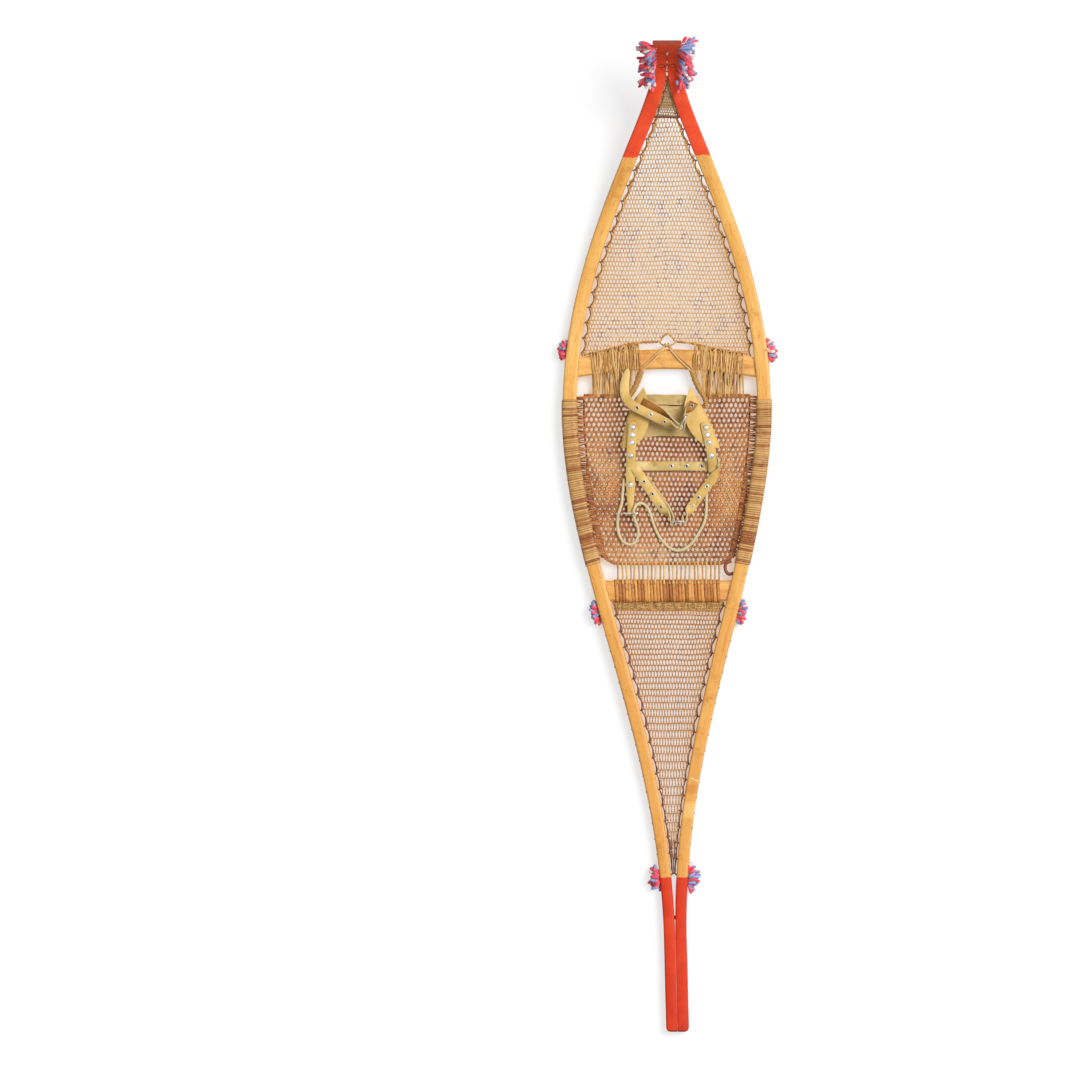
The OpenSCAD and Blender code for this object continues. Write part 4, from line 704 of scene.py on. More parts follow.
def make_stave(side, name, node):
    rings = []
    for y in stave_stations():
        w, h = stave_width(y), stave_height(y)
        from_tail, from_toe = y + HALF_LEN, HALF_LEN - y
        tuck = 5.5 * (1 - math.sqrt(1 - clamp01(1 - from_tail / TAIL_ROUND) ** 2))
        thin = 0.8 * clamp01(1 - from_tail / 2) + 0.5 * clamp01(1 - from_toe / END_BEVEL)
        edge = min(3.0, h * 0.24)
        closed = ease((y - NOSE_Y + 8) / 8)
        seam_edge = mix(edge, SEAM_EDGE, max(closed, 0.8 * ease((TAIL_CLOSE_Y - y) / 15)))
        radii = (seam_edge, edge) if side == LEFT else (edge, seam_edge)
        fill = closed * SNUG / 2
        ring = []
        for u, v in soft_section(w - tuck - thin + fill, h - 2 * thin, radii[0], 3, radii[1]):
            p = stave_point(side, y, u - side * (tuck + fill) / 2, h / 2 + v)
            wave = noise.noise(Vector((p[0], p[1] * 0.35, p[2])) * 0.045)
            ring.append(p + np.array([1.0, 0, 0.6]) * HAND_WAVE * wave)
        rings.append(ring)
    skein = Skein()
    skein.loft(rings)
    return skein.piece(name, [STAVE_FINISH], "wood", nodes=[node], sharp=35)


def dress(finish, *nodes):
    """Puts a finish on CAD nodes that show as they are."""
    for node in nodes:
        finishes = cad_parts[node].data.materials
        finishes.clear()
        finishes.append(finish)


for side, word in SIDES:
    make_stave(side, word + "_stave_wood", word + "_stave")
dress(BAR_FINISH, "front_crossbar", "rear_crossbar")

# Nets


# How a net's strands stray: scale across the columns and along them, layer of noise, and distance
WANDER = ((0.013, 0.08, 4, 2.6), (0.03, 0.22, 0, 0.9), (0.16, 1.1, 9, 0.42))


def netted(skein, seed, pitch, row_y, rows, reach, inside, width, thick, sides=5, slant=0.85,
           fill=lambda x, y: 1.0, narrow=lambda y: 1.0, shade=lambda x, y: 0.0):
    """Three-way hexagonal weave: level strands over one slant, under the other, cut to a region.

    pitch is the width of a column and row_y(q) the place of row q, out to reach each way; slant is
    the width of the slanting strands as a share of the level ones', fill swells the strands, narrow
    draws the columns together, and shade lightens or darkens the strands."""
    draw = random.Random(seed)
    swing = thick * 0.55

    def plan(u, q):
        y = row_y(q)
        x = axis_x(y) + u * narrow(y)
        for u_scale, q_scale, layer, far in WANDER:
            stray = noise.noise_vector(Vector((u * u_scale, q * q_scale, seed + layer))) * far
            x, y = x + stray.x, y + stray.y
        return x, y

    def strand(places, share, tones):
        spots = [(*plan(u, q), over) for u, q, over in places]
        clear = [inside(x, y) for x, y, _ in spots]
        run = []
        for i, (spot, kept) in enumerate(zip(spots, clear)):
            if kept and not run and i:
                run.append(edge_spot(spot, spots[i - 1]))
            if kept:
                run.append(spot)
            elif run:
                run.append(edge_spot(spots[i - 1], spot))
                lay(run, share, tones)
                run = []
        if run:
            lay(run, share, tones)

    def edge_spot(near, far):
        low, high = 0.0, 1.0
        for _ in range(6):
            middle = (low + high) / 2
            if inside(mix(near[0], far[0], middle), mix(near[1], far[1], middle)):
                low = middle
            else:
                high = middle
        return (mix(near[0], far[0], low), mix(near[1], far[1], low), 0.0)

    def lay(run, share, tones):
        if len(run) < 3:
            return
        points, ups = [], []
        for x, y, over in run:
            up = net_up(y)
            points.append(np.array([x, y, net_z(y)]) + up * over * swing)
            ups.append(up)
        girth = 1 + 0.16 * (draw.random() - 0.5)
        wide = [width * share * girth * fill(x, y) for x, y, _ in run]
        tone = draw.uniform(*tones)
        skein.cord(points, wide, thick * girth, sides, ups,
                   tone=[tone + shade(x, y) for x, y, _ in run], start=draw.uniform(0, 900))

    columns = int(reach / pitch) + 2
    for j in range(-1, rows + 1):
        strand([(pitch * (m / 2 + 0.25), j + 0.5, 1 if (m + j) % 2 else -1)
                for m in range(-2 * columns, 2 * columns)], 1.0, (0.42, 0.7))
    lean = columns + rows // 2 + 2
    for way in (1, -1):
        for k in range(-lean, lean):
            strand([((k + 0.5) * pitch + way * n * pitch / 4, n / 2, way if n % 2 == 0 else -way)
                    for n in range(-2, 2 * rows + 2)], slant, (0.34, 0.6))


SCALLOP_LEN, SCALLOP_REACH, TAIL_REACH, SELVAGE_D, STAGGER = 22.0, 5.0, 3.6, 1.7, 0.18
FRONT_SELVAGE = (265.0, 672.0)
TAIL_SELVAGE = (-490.0, -100.0)
TAIL_WEAVE_END = -456.0


def scallop_gap(y, ends, side):
    """Distance of the selvage thong from the stave's inner face."""
    low, high = ends
    count = int((high - low) / SCALLOP_LEN)
    t = (y - low) / (high - low) * count + STAGGER * side
    deep = SCALLOP_REACH if ends is FRONT_SELVAGE else TAIL_REACH
    reach = deep * clamp01(half_width(y) / 60 - 0.1)
    return 0.6 + SELVAGE_D / 2 + reach * abs(math.sin(math.pi * t)) ** 0.75


def within(x, y, ends):
    low, high = (inside_x(side, y, scallop_gap(y, ends, side)) for side in (LEFT, RIGHT))
    return low < x < high


FRONT_EDGE = np.array([
    (-130, 262), (-110, 266), (-80, 274), (-54, 281), (-36, 283), (-18, 284), (-10, 284), (-7, 289),
    (-2, 295), (4, 295), (9, 289), (12, 284), (18, 284), (41, 281), (67, 274), (118, 265),
    (130, 262)], float)


def front_edge(x):
    clear_of_bar = front_bar_line(x) + FRONT_BAR_W / 2 + 2.0
    return max(float(np.interp(x, FRONT_EDGE[:, 0], FRONT_EDGE[:, 1])), clear_of_bar)


def selvage_band(skein, ends, top, draw, strands=5, finish=0):
    """Close strands that follow the selvage thongs along both sides of a net."""
    for side in (LEFT, RIGHT):
        for k in range(strands):
            low, high = ends[0] + draw.uniform(0, 14), min(ends[1], top) - draw.uniform(0, 5)
            run = []
            for y in np.arange(low, high, 2.5):
                room = (inside_x(RIGHT, y, 0) - inside_x(LEFT, y, 0)) / 2
                gap = scallop_gap(y, ends, side) * mix(1, 0.45, k / 4) + 1.1 * k + 0.6
                gap += 0.5 * math.sin(y * 0.7 + 2 * k)
                if gap < room - 2:
                    run.append((inside_x(side, y, gap), y))
            if len(run) > 4:
                spots = np.array([(x, y, net_z(y) + 0.3 * math.sin(y * 0.9 + k)) for x, y in run])
                skein.cord(spots, 1.5, 0.9, 5, [net_up(p[1]) for p in spots],
                           tone=draw.uniform(0.35, 0.8), finish=finish)


def edge_run(skein, points, width, thick, tone=0.4, finish=0):
    """Strand along the edge of a net."""
    spots = np.array([(x, y, net_z(y)) for x, y in resampled(points, 3.0)])
    skein.cord(spots, width, thick, 6, [net_up(p[1]) for p in spots], tone=tone, finish=finish)


# Loop under the eye in the front net's rear edge, and stretches of that edge in red lace
EYE_LOOP = [(-11, 285), (-8, 281), (-3, 278), (1, 277.4), (6, 278.4), (10, 281), (13, 285)]
RED_STRETCHES = ((-74, -60), (-33, -13), (15, 27), (36, 50), (72, 80))


def front_shade(x, y):
    """Paler in the middle of the front net than beside the staves."""
    return mix(0.08, -0.15, clamp01(abs(x) / inside_x(RIGHT, y, 0)) ** 3)


def make_front_net():
    skein = Skein()
    netted(skein, seed=3, pitch=4.62, row_y=lambda q: 256 + 6.1 * q + 0.0055 * q * q, rows=57,
           reach=150, width=1.12, thick=0.95, shade=front_shade,
           inside=lambda x, y: (front_edge(x) < y < SPREADER_Y - 2
                                and within(x, y, FRONT_SELVAGE)))
    span = [x for x in np.linspace(-123, 123, 120) if within(x, front_edge(x), FRONT_SELVAGE)]
    for lift, girth in ((0.0, 2.0), (1.6, 1.4)):
        edge = [(x, front_edge(x) + lift + 0.7 * math.sin(x * 0.9 + lift)) for x in span]
        edge_run(skein, edge, girth, 1.3)
    selvage_band(skein, FRONT_SELVAGE, SPREADER_Y - 2, random.Random(4))
    edge_run(skein, rounded(EYE_LOOP), 2.2, 1.5)
    for low, high in RED_STRETCHES:
        edge = [(x, front_edge(x) + 0.9 * math.sin(x * 1.3)) for x in np.linspace(low, high, 9)]
        edge_run(skein, edge, 2.3, 1.7, finish=1)
    return skein.piece("front_netting", [NET_FINISH, RED_WRAP_FINISH], "rawhide",
                       nodes=["front_net"])


def make_toe_net():
    skein = Skein()
    low, high = SPREADER_Y - 2.5, 672.0
    netted(skein, seed=5, pitch=3.5, row_y=lambda q: low - 2 + 3.9 * q, rows=17, reach=40,
           width=1.4, thick=0.9, slant=1.0, fill=lambda x, y: mix(1.05, 3.2, ease((y - 620) / 14)),
           inside=lambda x, y: (low < y < high
                                and inside_x(LEFT, y, 0.2) < x < inside_x(RIGHT, y, 0.2)))
    return skein.piece("toe_netting", [TOE_NET_FINISH], "rawhide", nodes=["toe_net"])


# Band behind the rear crossbar: strands, their first place and spacing, and the ties over them
BAND_STRANDS, BAND_Y, BAND_STEP, BAND_TIES = 22, -94.6, 0.56, 64
# Dark thongs from the weave's end to the tie, from and to shares of the room between the staves
TAIL_THONGS = ((-0.55, 0.3), (-0.2, -0.5), (0.15, 0.55), (0.5, -0.2))


def make_tail_net():
    skein = Skein()
    top, row, growth = -104.0, 6.3, 0.0245

    def room(y):
        return inside_x(RIGHT, y, 0) - inside_x(LEFT, y, 0)

    def narrow(y):
        return max(0.1, room(y) / room(top)) ** 0.12

    netted(skein, seed=7, pitch=4.6, rows=37, reach=110, width=1.65, thick=1.0, slant=0.66,
           row_y=lambda q: top - row / growth * (math.exp(growth * q) - 1),
           fill=lambda x, y: 0.25 + 0.75 * narrow(y), narrow=narrow,
           inside=lambda x, y: TAIL_WEAVE_END < y < top and within(x, y, TAIL_SELVAGE))
    shares, places = np.linspace(0, 1, 9), np.linspace(TAIL_WEAVE_END + 14, TAIL_SELVAGE[0] - 2, 9)
    for low, high in TAIL_THONGS:
        spots = [(axis_x(y) + mix(low, high, t) * room(y) / 2, y) for t, y in zip(shares, places)]
        edge_run(skein, spots, 1.2, 1.1, 0.4, 2)
    draw = random.Random(8)
    selvage_band(skein, TAIL_SELVAGE, top, draw, 1, 2)
    for k in range(BAND_STRANDS):
        y = BAND_Y - BAND_STEP * k
        span = (inside_x(LEFT, y, 2.5), inside_x(RIGHT, y, 2.5))
        sag = draw.uniform(0.2, 0.9)
        level = [(mix(*span, t / 40), y + sag * math.sin(t * 0.9 + 2 * k) + draw.uniform(-0.6, 0.6))
                 for t in range(41)]
        edge_run(skein, level, draw.uniform(1.0, 1.6), 1.1, draw.uniform(0.25, 0.85), 1)
    for k in range(BAND_TIES):
        t = (k + draw.random()) / BAND_TIES
        x = mix(inside_x(LEFT, -100, 3), inside_x(RIGHT, -100, 3), t)
        low = (x + draw.uniform(-3, 3), -106.5 + draw.uniform(-1.2, 1.2))
        edge_run(skein, [(x, -94.0), low], draw.uniform(0.8, 1.3), 1.8, draw.uniform(0.3, 0.9), 1)
    return skein.piece("tail_netting", [TAIL_NET_FINISH, BAR_LACE_FINISH, THONG_FINISH], "rawhide",
                       nodes=["tail_net"])


WOUND_GAP, LINK_LEN = LACE_T + 2 * SNUG, 8.0
CENTRE_LOW, CENTRE_HIGH, SHOULDER_HIGH = -40.0, 184.0, 205.0
STAY_PLAN = np.array([(38.0, 232.0), (46.5, 216.5), (54.1, 206.0), (57.0, 196.5), (57.0, 186.5)])
# Loose loop of lace between the right stave and the net's rear corner
CORNER_LOOP = [(94.5, -35.5), (86, -38.5), (84.8, -45), (86.5, -52), (91.5, -56), (97.5, -53)]


def stay_x(y):
    return float(np.interp(-y, -STAY_PLAN[:, 1], STAY_PLAN[:, 0]))


def centre_low(x):
    """Rear edge of the centre net, which turns up into the corners beside the staves."""
    side = RIGHT if x > axis_x(CENTRE_LOW) else LEFT
    side_reach = abs(inside_x(side, CENTRE_LOW, WOUND_GAP) - axis_x(CENTRE_LOW))
    out = abs(x - axis_x(CENTRE_LOW)) - (side_reach - 21)
    return CENTRE_LOW + 12 * clamp01(out / 21) ** 1.6


def centre_inside(x, y):
    if not centre_low(x) < y < SHOULDER_HIGH:
        return False
    if y > CENTRE_HIGH and abs(x) < stay_x(y) + 4:
        return False
    return (inside_x(LEFT, y, WOUND_GAP + LINK_LEN) < x < inside_x(RIGHT, y, WOUND_GAP + LINK_LEN))


def centre_fill(x, y):
    """Strands swell where the net is worn closed, at the middle of its sides."""
    worn = math.exp(-((abs(x) - 84) / 34) ** 2 - ((y - 62) / 62) ** 2)
    cloud = noise.noise(Vector((x * 0.035, y * 0.035, 4.0)))
    return 0.94 + 0.68 * worn + 0.3 * cloud


# Places where the centre net is darker or paler, the darker ones painted shadow of the binding
# above: middle, reach each way and amount
CENTRE_SHADOW_PATCHES = [(5, 131, 45, 14, -0.35), (28, 48, 26, 20, -0.35), (-57, 38, 12, 30, -0.4),
                  (0, -28, 75, 17, 0.35), (-90, 100, 22, 45, 0.2), (90, 60, 18, 55, 0.25)]


# Painted shadow where a patch darkens the strands; the paler patches lighten them
def centre_shadow_and_tone(x, y):
    return sum(amount * math.exp(-((x - px) / rx) ** 2 - ((y - py) / ry) ** 2)
               for px, py, rx, ry, amount in CENTRE_SHADOW_PATCHES)


def make_centre_net():
    skein = Skein()
    netted(skein, seed=11, pitch=6.7, row_y=lambda q: 207 - 7.15 * q - 0.005 * q * q, rows=36,
           reach=160, inside=centre_inside, width=2.3, thick=1.5, sides=6, slant=1.0,
           fill=centre_fill, shade=centre_shadow_and_tone)
    draw = random.Random(12)
    for side in (LEFT, RIGHT):
        heights = np.linspace(CENTRE_LOW + 9, SHOULDER_HIGH, 90)
        for k in range(4):
            gaps = [WOUND_GAP + LINK_LEN + 0.6 - 2.3 * k * ease((120 - y) / 60)
                    + 0.6 * math.sin(y * 0.5 + k) for y in heights]
            edge = [(inside_x(side, y, gap), y) for y, gap in zip(heights, gaps)]
            edge_run(skein, edge, 2.2, 1.6, draw.uniform(0.1, 0.6))
        for lift in (0.0, 2.0):
            span = np.linspace(side * (stay_x(SHOULDER_HIGH) + 4), edge[-1][0], 30)
            edge_run(skein, [(x, SHOULDER_HIGH + lift + 0.5 * math.sin(x * 0.6)) for x in span],
                     2.5, 1.8)
        y = SHOULDER_HIGH
        while y > CENTRE_LOW + 12:
            start = np.array([inside_x(side, y, 0.2), y + draw.uniform(-1.5, 1.5)])
            end = np.array([inside_x(side, y, WOUND_GAP + LINK_LEN + 1.5), y + draw.uniform(-3, 3)])
            lift = draw.uniform(-1.6, 1.6)
            points = [(*start, MID_Z + 3 * lift), (*mix(start, end, 0.4), MID_Z + lift),
                      (*end, MID_Z + 0.6)]
            skein.cord(rounded(points), draw.uniform(1.4, 2.5), 1.4, 5, tone=draw.uniform(0.1, 0.8),
                       finish=2 if draw.random() < 0.4 else 0, start=draw.uniform(0, 500))
            y -= mix(1.7, 2.2, ease((y - 70) / 70)) * draw.uniform(0.8, 1.2)
    rim = [x for x in np.linspace(-110, 120, 110)
           if inside_x(LEFT, CENTRE_LOW, WOUND_GAP) < x < inside_x(RIGHT, CENTRE_LOW, WOUND_GAP)]
    edge_run(skein, [(x, centre_low(x)) for x in rim], 3.0, 2.0)
    for corner in (rim[:16], rim[-16:]):
        edge_run(skein, [(x, centre_low(x) + 1.8) for x in corner], 3.4, 2.2, finish=2)
    edge_run(skein, rounded(CORNER_LOOP), 4.8, 3.2, 0.12, 2)
    fringe(skein, draw)
    return skein.piece("centre_netting", [CENTRE_FINISH, BAR_LACE_FINISH, RED_WRAP_FINISH],
                       "red_rawhide",
                       nodes=["centre_net", "left_shoulder_net", "right_shoulder_net"])


FRINGE_CORDS, FRINGE_ENDS = 25, (-76, 78)


def fringe(skein, draw):
    """Upright cords from the centre net to the rear crossbar."""
    front = REAR_BAR_Y + REAR_BAR_W / 2
    for i in range(FRINGE_CORDS):
        x = axis_x(REAR_BAR_Y) + mix(*FRINGE_ENDS, (i + 0.5) / FRINGE_CORDS)
        x += draw.uniform(-0.7, 0.7)
        lean = draw.uniform(-0.8, 0.8)
        points = rounded([(x, CENTRE_LOW + 4, MID_Z + 0.6), (x, CENTRE_LOW - 3, MID_Z),
                          (x + lean, front + 8, MID_Z), (x + lean, front + 1, MID_Z + 4),
                          (x + lean, front - 5, MID_Z + BAR_T / 2 + 2.6)])
        girth = along(points, [0, 0.25, 0.6, 1], [3.6, 2.5, 2.3, 3.2])
        skein.cord(points, girth, girth * 0.75, 6, tone=draw.uniform(0.3, 0.9), finish=1,
                   start=draw.uniform(0, 500))


make_front_net()
make_toe_net()
make_tail_net()
make_centre_net()

# Selvage thongs


def selvage(side, ends, name, node):
    skein = Skein()
    run = []
    for y in np.arange(ends[0], ends[1], 1.6):
        u = stave_width(y) / 2 + scallop_gap(y, ends, side)
        run.append(stave_point(side, y, -side * u, stave_height(y) / 2 + 0.4))
    skein.cord(run, SELVAGE_D, SELVAGE_D * 0.8, 6)
    draw = random.Random(node)
    count = int((ends[1] - ends[0]) / SCALLOP_LEN)
    for k in range(1, count + 1):
        y = ends[0] + (k - STAGGER * side) * (ends[1] - ends[0]) / count
        if not ends[0] + 3 < y < ends[1] - 3:
            continue
        u = stave_width(y) / 2
        v = stave_height(y) / 2
        knot = [stave_point(side, y + dy, -side * (u + du), v + dv)
                for dy, du, dv in ((-0.6, -0.4, 0.6), (0.4, 1.4, 1.6),
                                   (1.2, 3.6, 1.2), (0.2, 5.6, 0.3))]
        skein.cord(rounded(knot), 1.9, 1.6, 6, tone=draw.uniform(0.2, 0.8))
        if y < REAR_BAR_Y:
            stub = [stave_point(side, y + dy, side * (u + du), v)
                    for dy, du in ((-1.5, -0.7), (-0.7, 0.1), (0.7, 0.1), (1.5, -0.7))]
            skein.cord(stub, 1.2, 1.4, 6, tone=draw.uniform(0.1, 0.6))
    if ends is TAIL_SELVAGE and side == LEFT:
        y = ends[0] - 4.5
        span = inside_x(LEFT, y, -0.5), inside_x(RIGHT, y, -0.5)
        tie = [(mix(*span, t), y + 3.2 * math.sin(math.pi * t), net_z(y) + 0.5)
               for t in np.linspace(0, 1, 9)]
        skein.cord(tie, 2.2, 1.8, 6, tone=0.2)
    return skein.piece(name, [THONG_FINISH], "dark_thong", nodes=[node])


for net, ends in (("front", FRONT_SELVAGE), ("tail", TAIL_SELVAGE)):
    for side, word in SIDES:
        selvage(side, ends, f"{net}_thong_{word}", f"{net}_selvage_{word}")

# Windings


def wound(skein, turns, spot, width, thick, seed, per_turn=20, finish_of=lambda turn: 0,
          tones=(0.15, 0.85)):
    """Lace wound turn by turn; spot(turns so far, share of the turn, thickness) gives the middle
    of the lace and its outward side."""
    draw = random.Random(seed)
    jitter = [draw.uniform(-0.16, 0.16) for _ in range(turns + 2)]
    for turn in range(turns):
        points, ups = [], []
        wide = width * draw.uniform(0.82, 1.22) * (0.75 if finish_of(turn) else 1.0)
        high = thick * draw.uniform(0.85, 1.0)
        for k in range(per_turn + 1):
            s = k / per_turn
            place, up = spot(turn + s + mix(jitter[turn], jitter[turn + 1], s), s, high)
            points.append(place)
            ups.append(up)
        skein.cord(points, wide, high, 6, ups, tone=draw.uniform(*tones), finish=finish_of(turn),
                   start=draw.uniform(0, 900))


CORNER_R = 2.8


def section_spot(w, h, s, grow):
    """Point and outward direction at share s round a rounded rectangle that is grown outwards."""
    corners = soft_section(w + 2 * grow, h + 2 * grow, CORNER_R + grow, 4)
    ring = np.array(corners + corners[:1])
    far = distances(ring)
    at = s % 1 * far[-1]
    spot = np.array([np.interp(at, far, ring[:, 0]), np.interp(at, far, ring[:, 1])])
    ahead = np.array([np.interp((at + 0.3) % far[-1], far, ring[:, 0]),
                      np.interp((at + 0.3) % far[-1], far, ring[:, 1])]) - spot
    return spot, np.array([ahead[1], -ahead[0]]) / max(np.linalg.norm(ahead), 1e-9)


WRAP_FRONT, WRAP_REAR, STAVE_TURNS = 201.5, -42.0, 76


def make_stave_wrap(side, name, node, seed):
    skein = Skein()
    pitch = (WRAP_FRONT - WRAP_REAR) / (STAVE_TURNS + 1)

    def spot(t, s, high):
        y = WRAP_FRONT - pitch * (t + 0.5)
        (u, v), (ou, ov) = section_spot(stave_width(y), STAVE_H, s, SNUG / 2 + high / 2)
        middle = stave_point(side, y, u, STAVE_H / 2 + v)
        return middle, stave_point(side, y, u + ou, STAVE_H / 2 + v + ov) - middle

    chance = random.Random(seed + 5)
    bands = [chance.random() < mix(0.1, 0.42, ease((turn / STAVE_TURNS - 0.55) * 3))
             for turn in range(STAVE_TURNS)]
    wound(skein, STAVE_TURNS, spot, pitch * 1.04, 1.7, seed,
          finish_of=lambda turn: int(bands[turn]), tones=(0.3, 0.8))
    return skein.piece(name, [WRAP_FINISH, RED_WRAP_FINISH], "brown_rawhide", nodes=[node])


for (side, word), seed in zip(SIDES, (21, 22)):
    make_stave_wrap(side, word + "_stave_lace", word + "_stave_wrap", seed)


def make_rear_lace():
    skein = Skein()
    low = axis_x(REAR_BAR_Y) - 78
    turns, length = 33, 156.0
    pitch = length / (turns + 1)

    def spot(t, s, high):
        (v, w), (ov, ow) = section_spot(REAR_BAR_W, BAR_T, s, SNUG / 2 + high / 2)
        x = low + pitch * (t + 0.5)
        return np.array([x, REAR_BAR_Y + v, MID_Z + w]), np.array([0, ov, ow])

    wound(skein, turns, spot, pitch * 1.06, 1.6, 31, tones=(0.05, 0.95))
    return skein.piece("rear_bar_lace", [REAR_LACE_FINISH], "brown_rawhide",
                       nodes=["rear_bar_wrap"])


make_rear_lace()


FRONT_CORDS = 34


def make_front_lace(side, name, node, seed):
    """Cords from the front net over and under the crossbar to the net beside the toe hole."""
    skein = Skein()
    draw = random.Random(seed)
    for layer in (1, -1):
        for i in range(FRONT_CORDS):
            x = side * mix(45, 111, (i + draw.uniform(0.0, 1.0)) / FRONT_CORDS)
            top = x + draw.uniform(-7.5, 7.5)
            end = x + side * draw.uniform(-9.5, 6.5)
            end = side * max(abs(end), stay_x(SHOULDER_HIGH + 6) + 4)
            bar, half = front_bar_line(x), FRONT_BAR_W / 2
            over = layer * (BAR_T / 2 + 1.1 + draw.uniform(0, 0.7))
            points = [(top, front_edge(top) + 1.5, MID_Z + 0.4 * layer),
                      (mix(top, x, 0.6), bar + half + 3.0, MID_Z + 0.55 * over),
                      (mix(top, x, 0.8), bar + half - 3.0, MID_Z + over),
                      (x + draw.uniform(-1.6, 1.6), bar, MID_Z + over),
                      (mix(x, end, 0.4), bar - half + 3.0, MID_Z + over),
                      (mix(x, end, 0.55), bar - half - 3.5, MID_Z + 0.5 * over),
                      (mix(x, end, 0.8), mix(bar - half, SHOULDER_HIGH, 0.6), MID_Z + 0.6 * layer),
                      (end, SHOULDER_HIGH - 1.5, MID_Z + 0.5 * layer)]
            girth = draw.uniform(1.3, 2.5)
            skein.cord(rounded(points), girth, girth * 0.75, 6, tone=draw.uniform(0.1, 0.95),
                       start=draw.uniform(0, 900))
    return skein.piece(name, [BAR_LACE_FINISH], "brown_rawhide", nodes=[node])


for (side, word), seed in zip(SIDES, (41, 42)):
    make_front_lace(side, "front_bar_lace_" + word, "front_bar_wrap_" + word, seed)

# Lashings, spreader, toe cord and stays


def spiral(run, step, pitch, phase=0.0):
    """Directions out of a run with points a step apart, which turn round it once in each pitch."""
    ahead = unit(np.gradient(run, axis=0))
    across = unit(np.cross(ahead, (0.03, 0.02, 1.0)))
    a = np.arange(len(run)) * step / pitch * 2 * math.pi + phase
    return np.cos(a)[:, None] * across + np.sin(a)[:, None] * np.cross(across, ahead)


def twisted(skein, points, thick, pitch):
    """Cord of two plies laid round each other."""
    step = 0.9
    run = resampled(rounded(points), step)
    for ply in (0, 1):
        strand = run + spiral(run, step, pitch, ply * math.pi) * thick * 0.24
        skein.cord(strand, thick * 0.56, thick * 0.56, 6, tone=0.5 + 0.1 * ply)


def coiled(skein, points, cores, lace, pitch):
    """Cord with lace wound round it along its run; cores are its girths from end to end."""
    step = 0.5
    run = resampled(rounded(points), step)
    core = along(run, np.linspace(0, 1, len(cores)), cores)
    skein.cord(run[::4], core[::4], core[::4], 8, tone=0.25)
    out = spiral(run, step, pitch)
    skein.cord(run + out * (core[:, None] + lace * 0.5) / 2, lace, lace * 0.6, 5, out)


def make_spreader():
    skein = Skein()
    middle = stave_point(RIGHT, SPREADER_Y, 0, stave_height(SPREADER_Y) / 2)
    reach = inside_x(RIGHT, SPREADER_Y, 0.2)
    route = [(mix(-reach, reach, i / 6), middle[1] + 0.5 * math.sin(i), middle[2])
             for i in range(7)]
    twisted(skein, route, 4.2, 7.0)
    return skein.piece("spreader_cord", [THONG_FINISH], "dark_thong", nodes=["toe_spreader"])


# Pale stitches on the toe: y, x and half the length of each
TOE_STITCHES = ((711, 0.3, 3.0), (711, 1.6, 2.6), (711, -0.8, 2.2), (698.5, 0, 1.6),
                (690.6, 0.4, 1.5), (686, -0.3, 1.7))


def make_toe_lashing():
    skein = Skein()
    middle_y, turns = 685.0, 3

    def spot(t, s, high):
        y = middle_y + (t - turns / 2) * 2.6 * math.cos(slope(middle_y))
        h, up = stave_height(y), face_up(y)
        (u, v), (ou, ov) = section_spot(2 * half_width(y), h, s, SNUG / 2 + high / 2)
        return np.array([u, y, LIFT + rise(y)]) + (h / 2 + v) * up, np.array([ou, 0, 0]) + ov * up

    wound(skein, turns, spot, 1.1, 0.8, 51, per_turn=28, finish_of=lambda turn: 2)

    def on_face(y, x=0.0, high=0.3):
        h, a = stave_height(y), slope(y)
        return np.array([x, y - (h + high) * math.sin(a),
                         LIFT + rise(y) + (h + high) * math.cos(a)])

    for side in (LEFT, RIGHT):
        for over, under in ((695.5, 692.0), (689.0, 690.5)):
            loop = [on_face(691, side * 0.8, 0.9), on_face(mix(691, over, 0.6), side * 4.5, 1.0),
                    on_face(over, side * 9, 0.7), on_face(under, side * 13.5, 0.3)]
            skein.cord(rounded(loop), 0.85, 0.8, 6, face_up(690), tone=0.2)
    seam = np.linspace(682, 717, 24)
    skein.cord([on_face(y, 0.25 * math.sin(y * 0.8), 0.05) for y in seam],
               np.interp(seam, [682, 700, 717], [1.6, 1.1, 0.4]), 0.7, 6,
               [face_up(y) for y in seam])
    for y, x, reach in TOE_STITCHES:
        stitch = [on_face(y + d * reach, x * (0.4 + 0.6 * d), 0.9) for d in np.linspace(-1, 1, 5)]
        skein.cord(stitch, 1.5 if y < 700 else 0.9, 1.1, 6, face_up(y), tone=0.8, finish=1)
    return skein.piece("toe_lace", [LASHING_FINISH, CREAM_YARN, STAVE_FINISH], "brown_rawhide",
                       nodes=["toe_lashing"])


def make_tail_lashing():
    skein = Skein()
    y = TAIL_CLOSE_Y + 34
    left, right = inside_x(LEFT, y, -6.5), inside_x(RIGHT, y, -6.5)
    z = LIFT + TAIL_H / 2
    twisted(skein, [(mix(left, right, i / 4), y, z) for i in range(5)], 3.0, 5.0)
    middle = (left + right) / 2
    for dz in (-1, 1):
        knot = [(middle + 2.6 * math.cos(a), y + 2.2 * math.sin(a),
                 z + dz * (1.2 + 0.4 * math.sin(2 * a))) for a in np.linspace(0, 1.9 * math.pi, 14)]
        skein.cord(knot, 1.5, 1.5, 6)
    return skein.piece("tail_lace", [THONG_FINISH], "dark_thong", nodes=["tail_lashing"])


def make_toe_cord():
    skein = Skein()
    half = 53.5
    coiled(skein, [(mix(-half, half, i / 8), TOE_CORD_Y, MID_Z) for i in range(9)],
           (4.6, 4.6), 2.0, 2.3)
    return skein.piece("toe_cord_lace", [CENTRE_FINISH], "brown_rawhide", nodes=["toe_cord"])


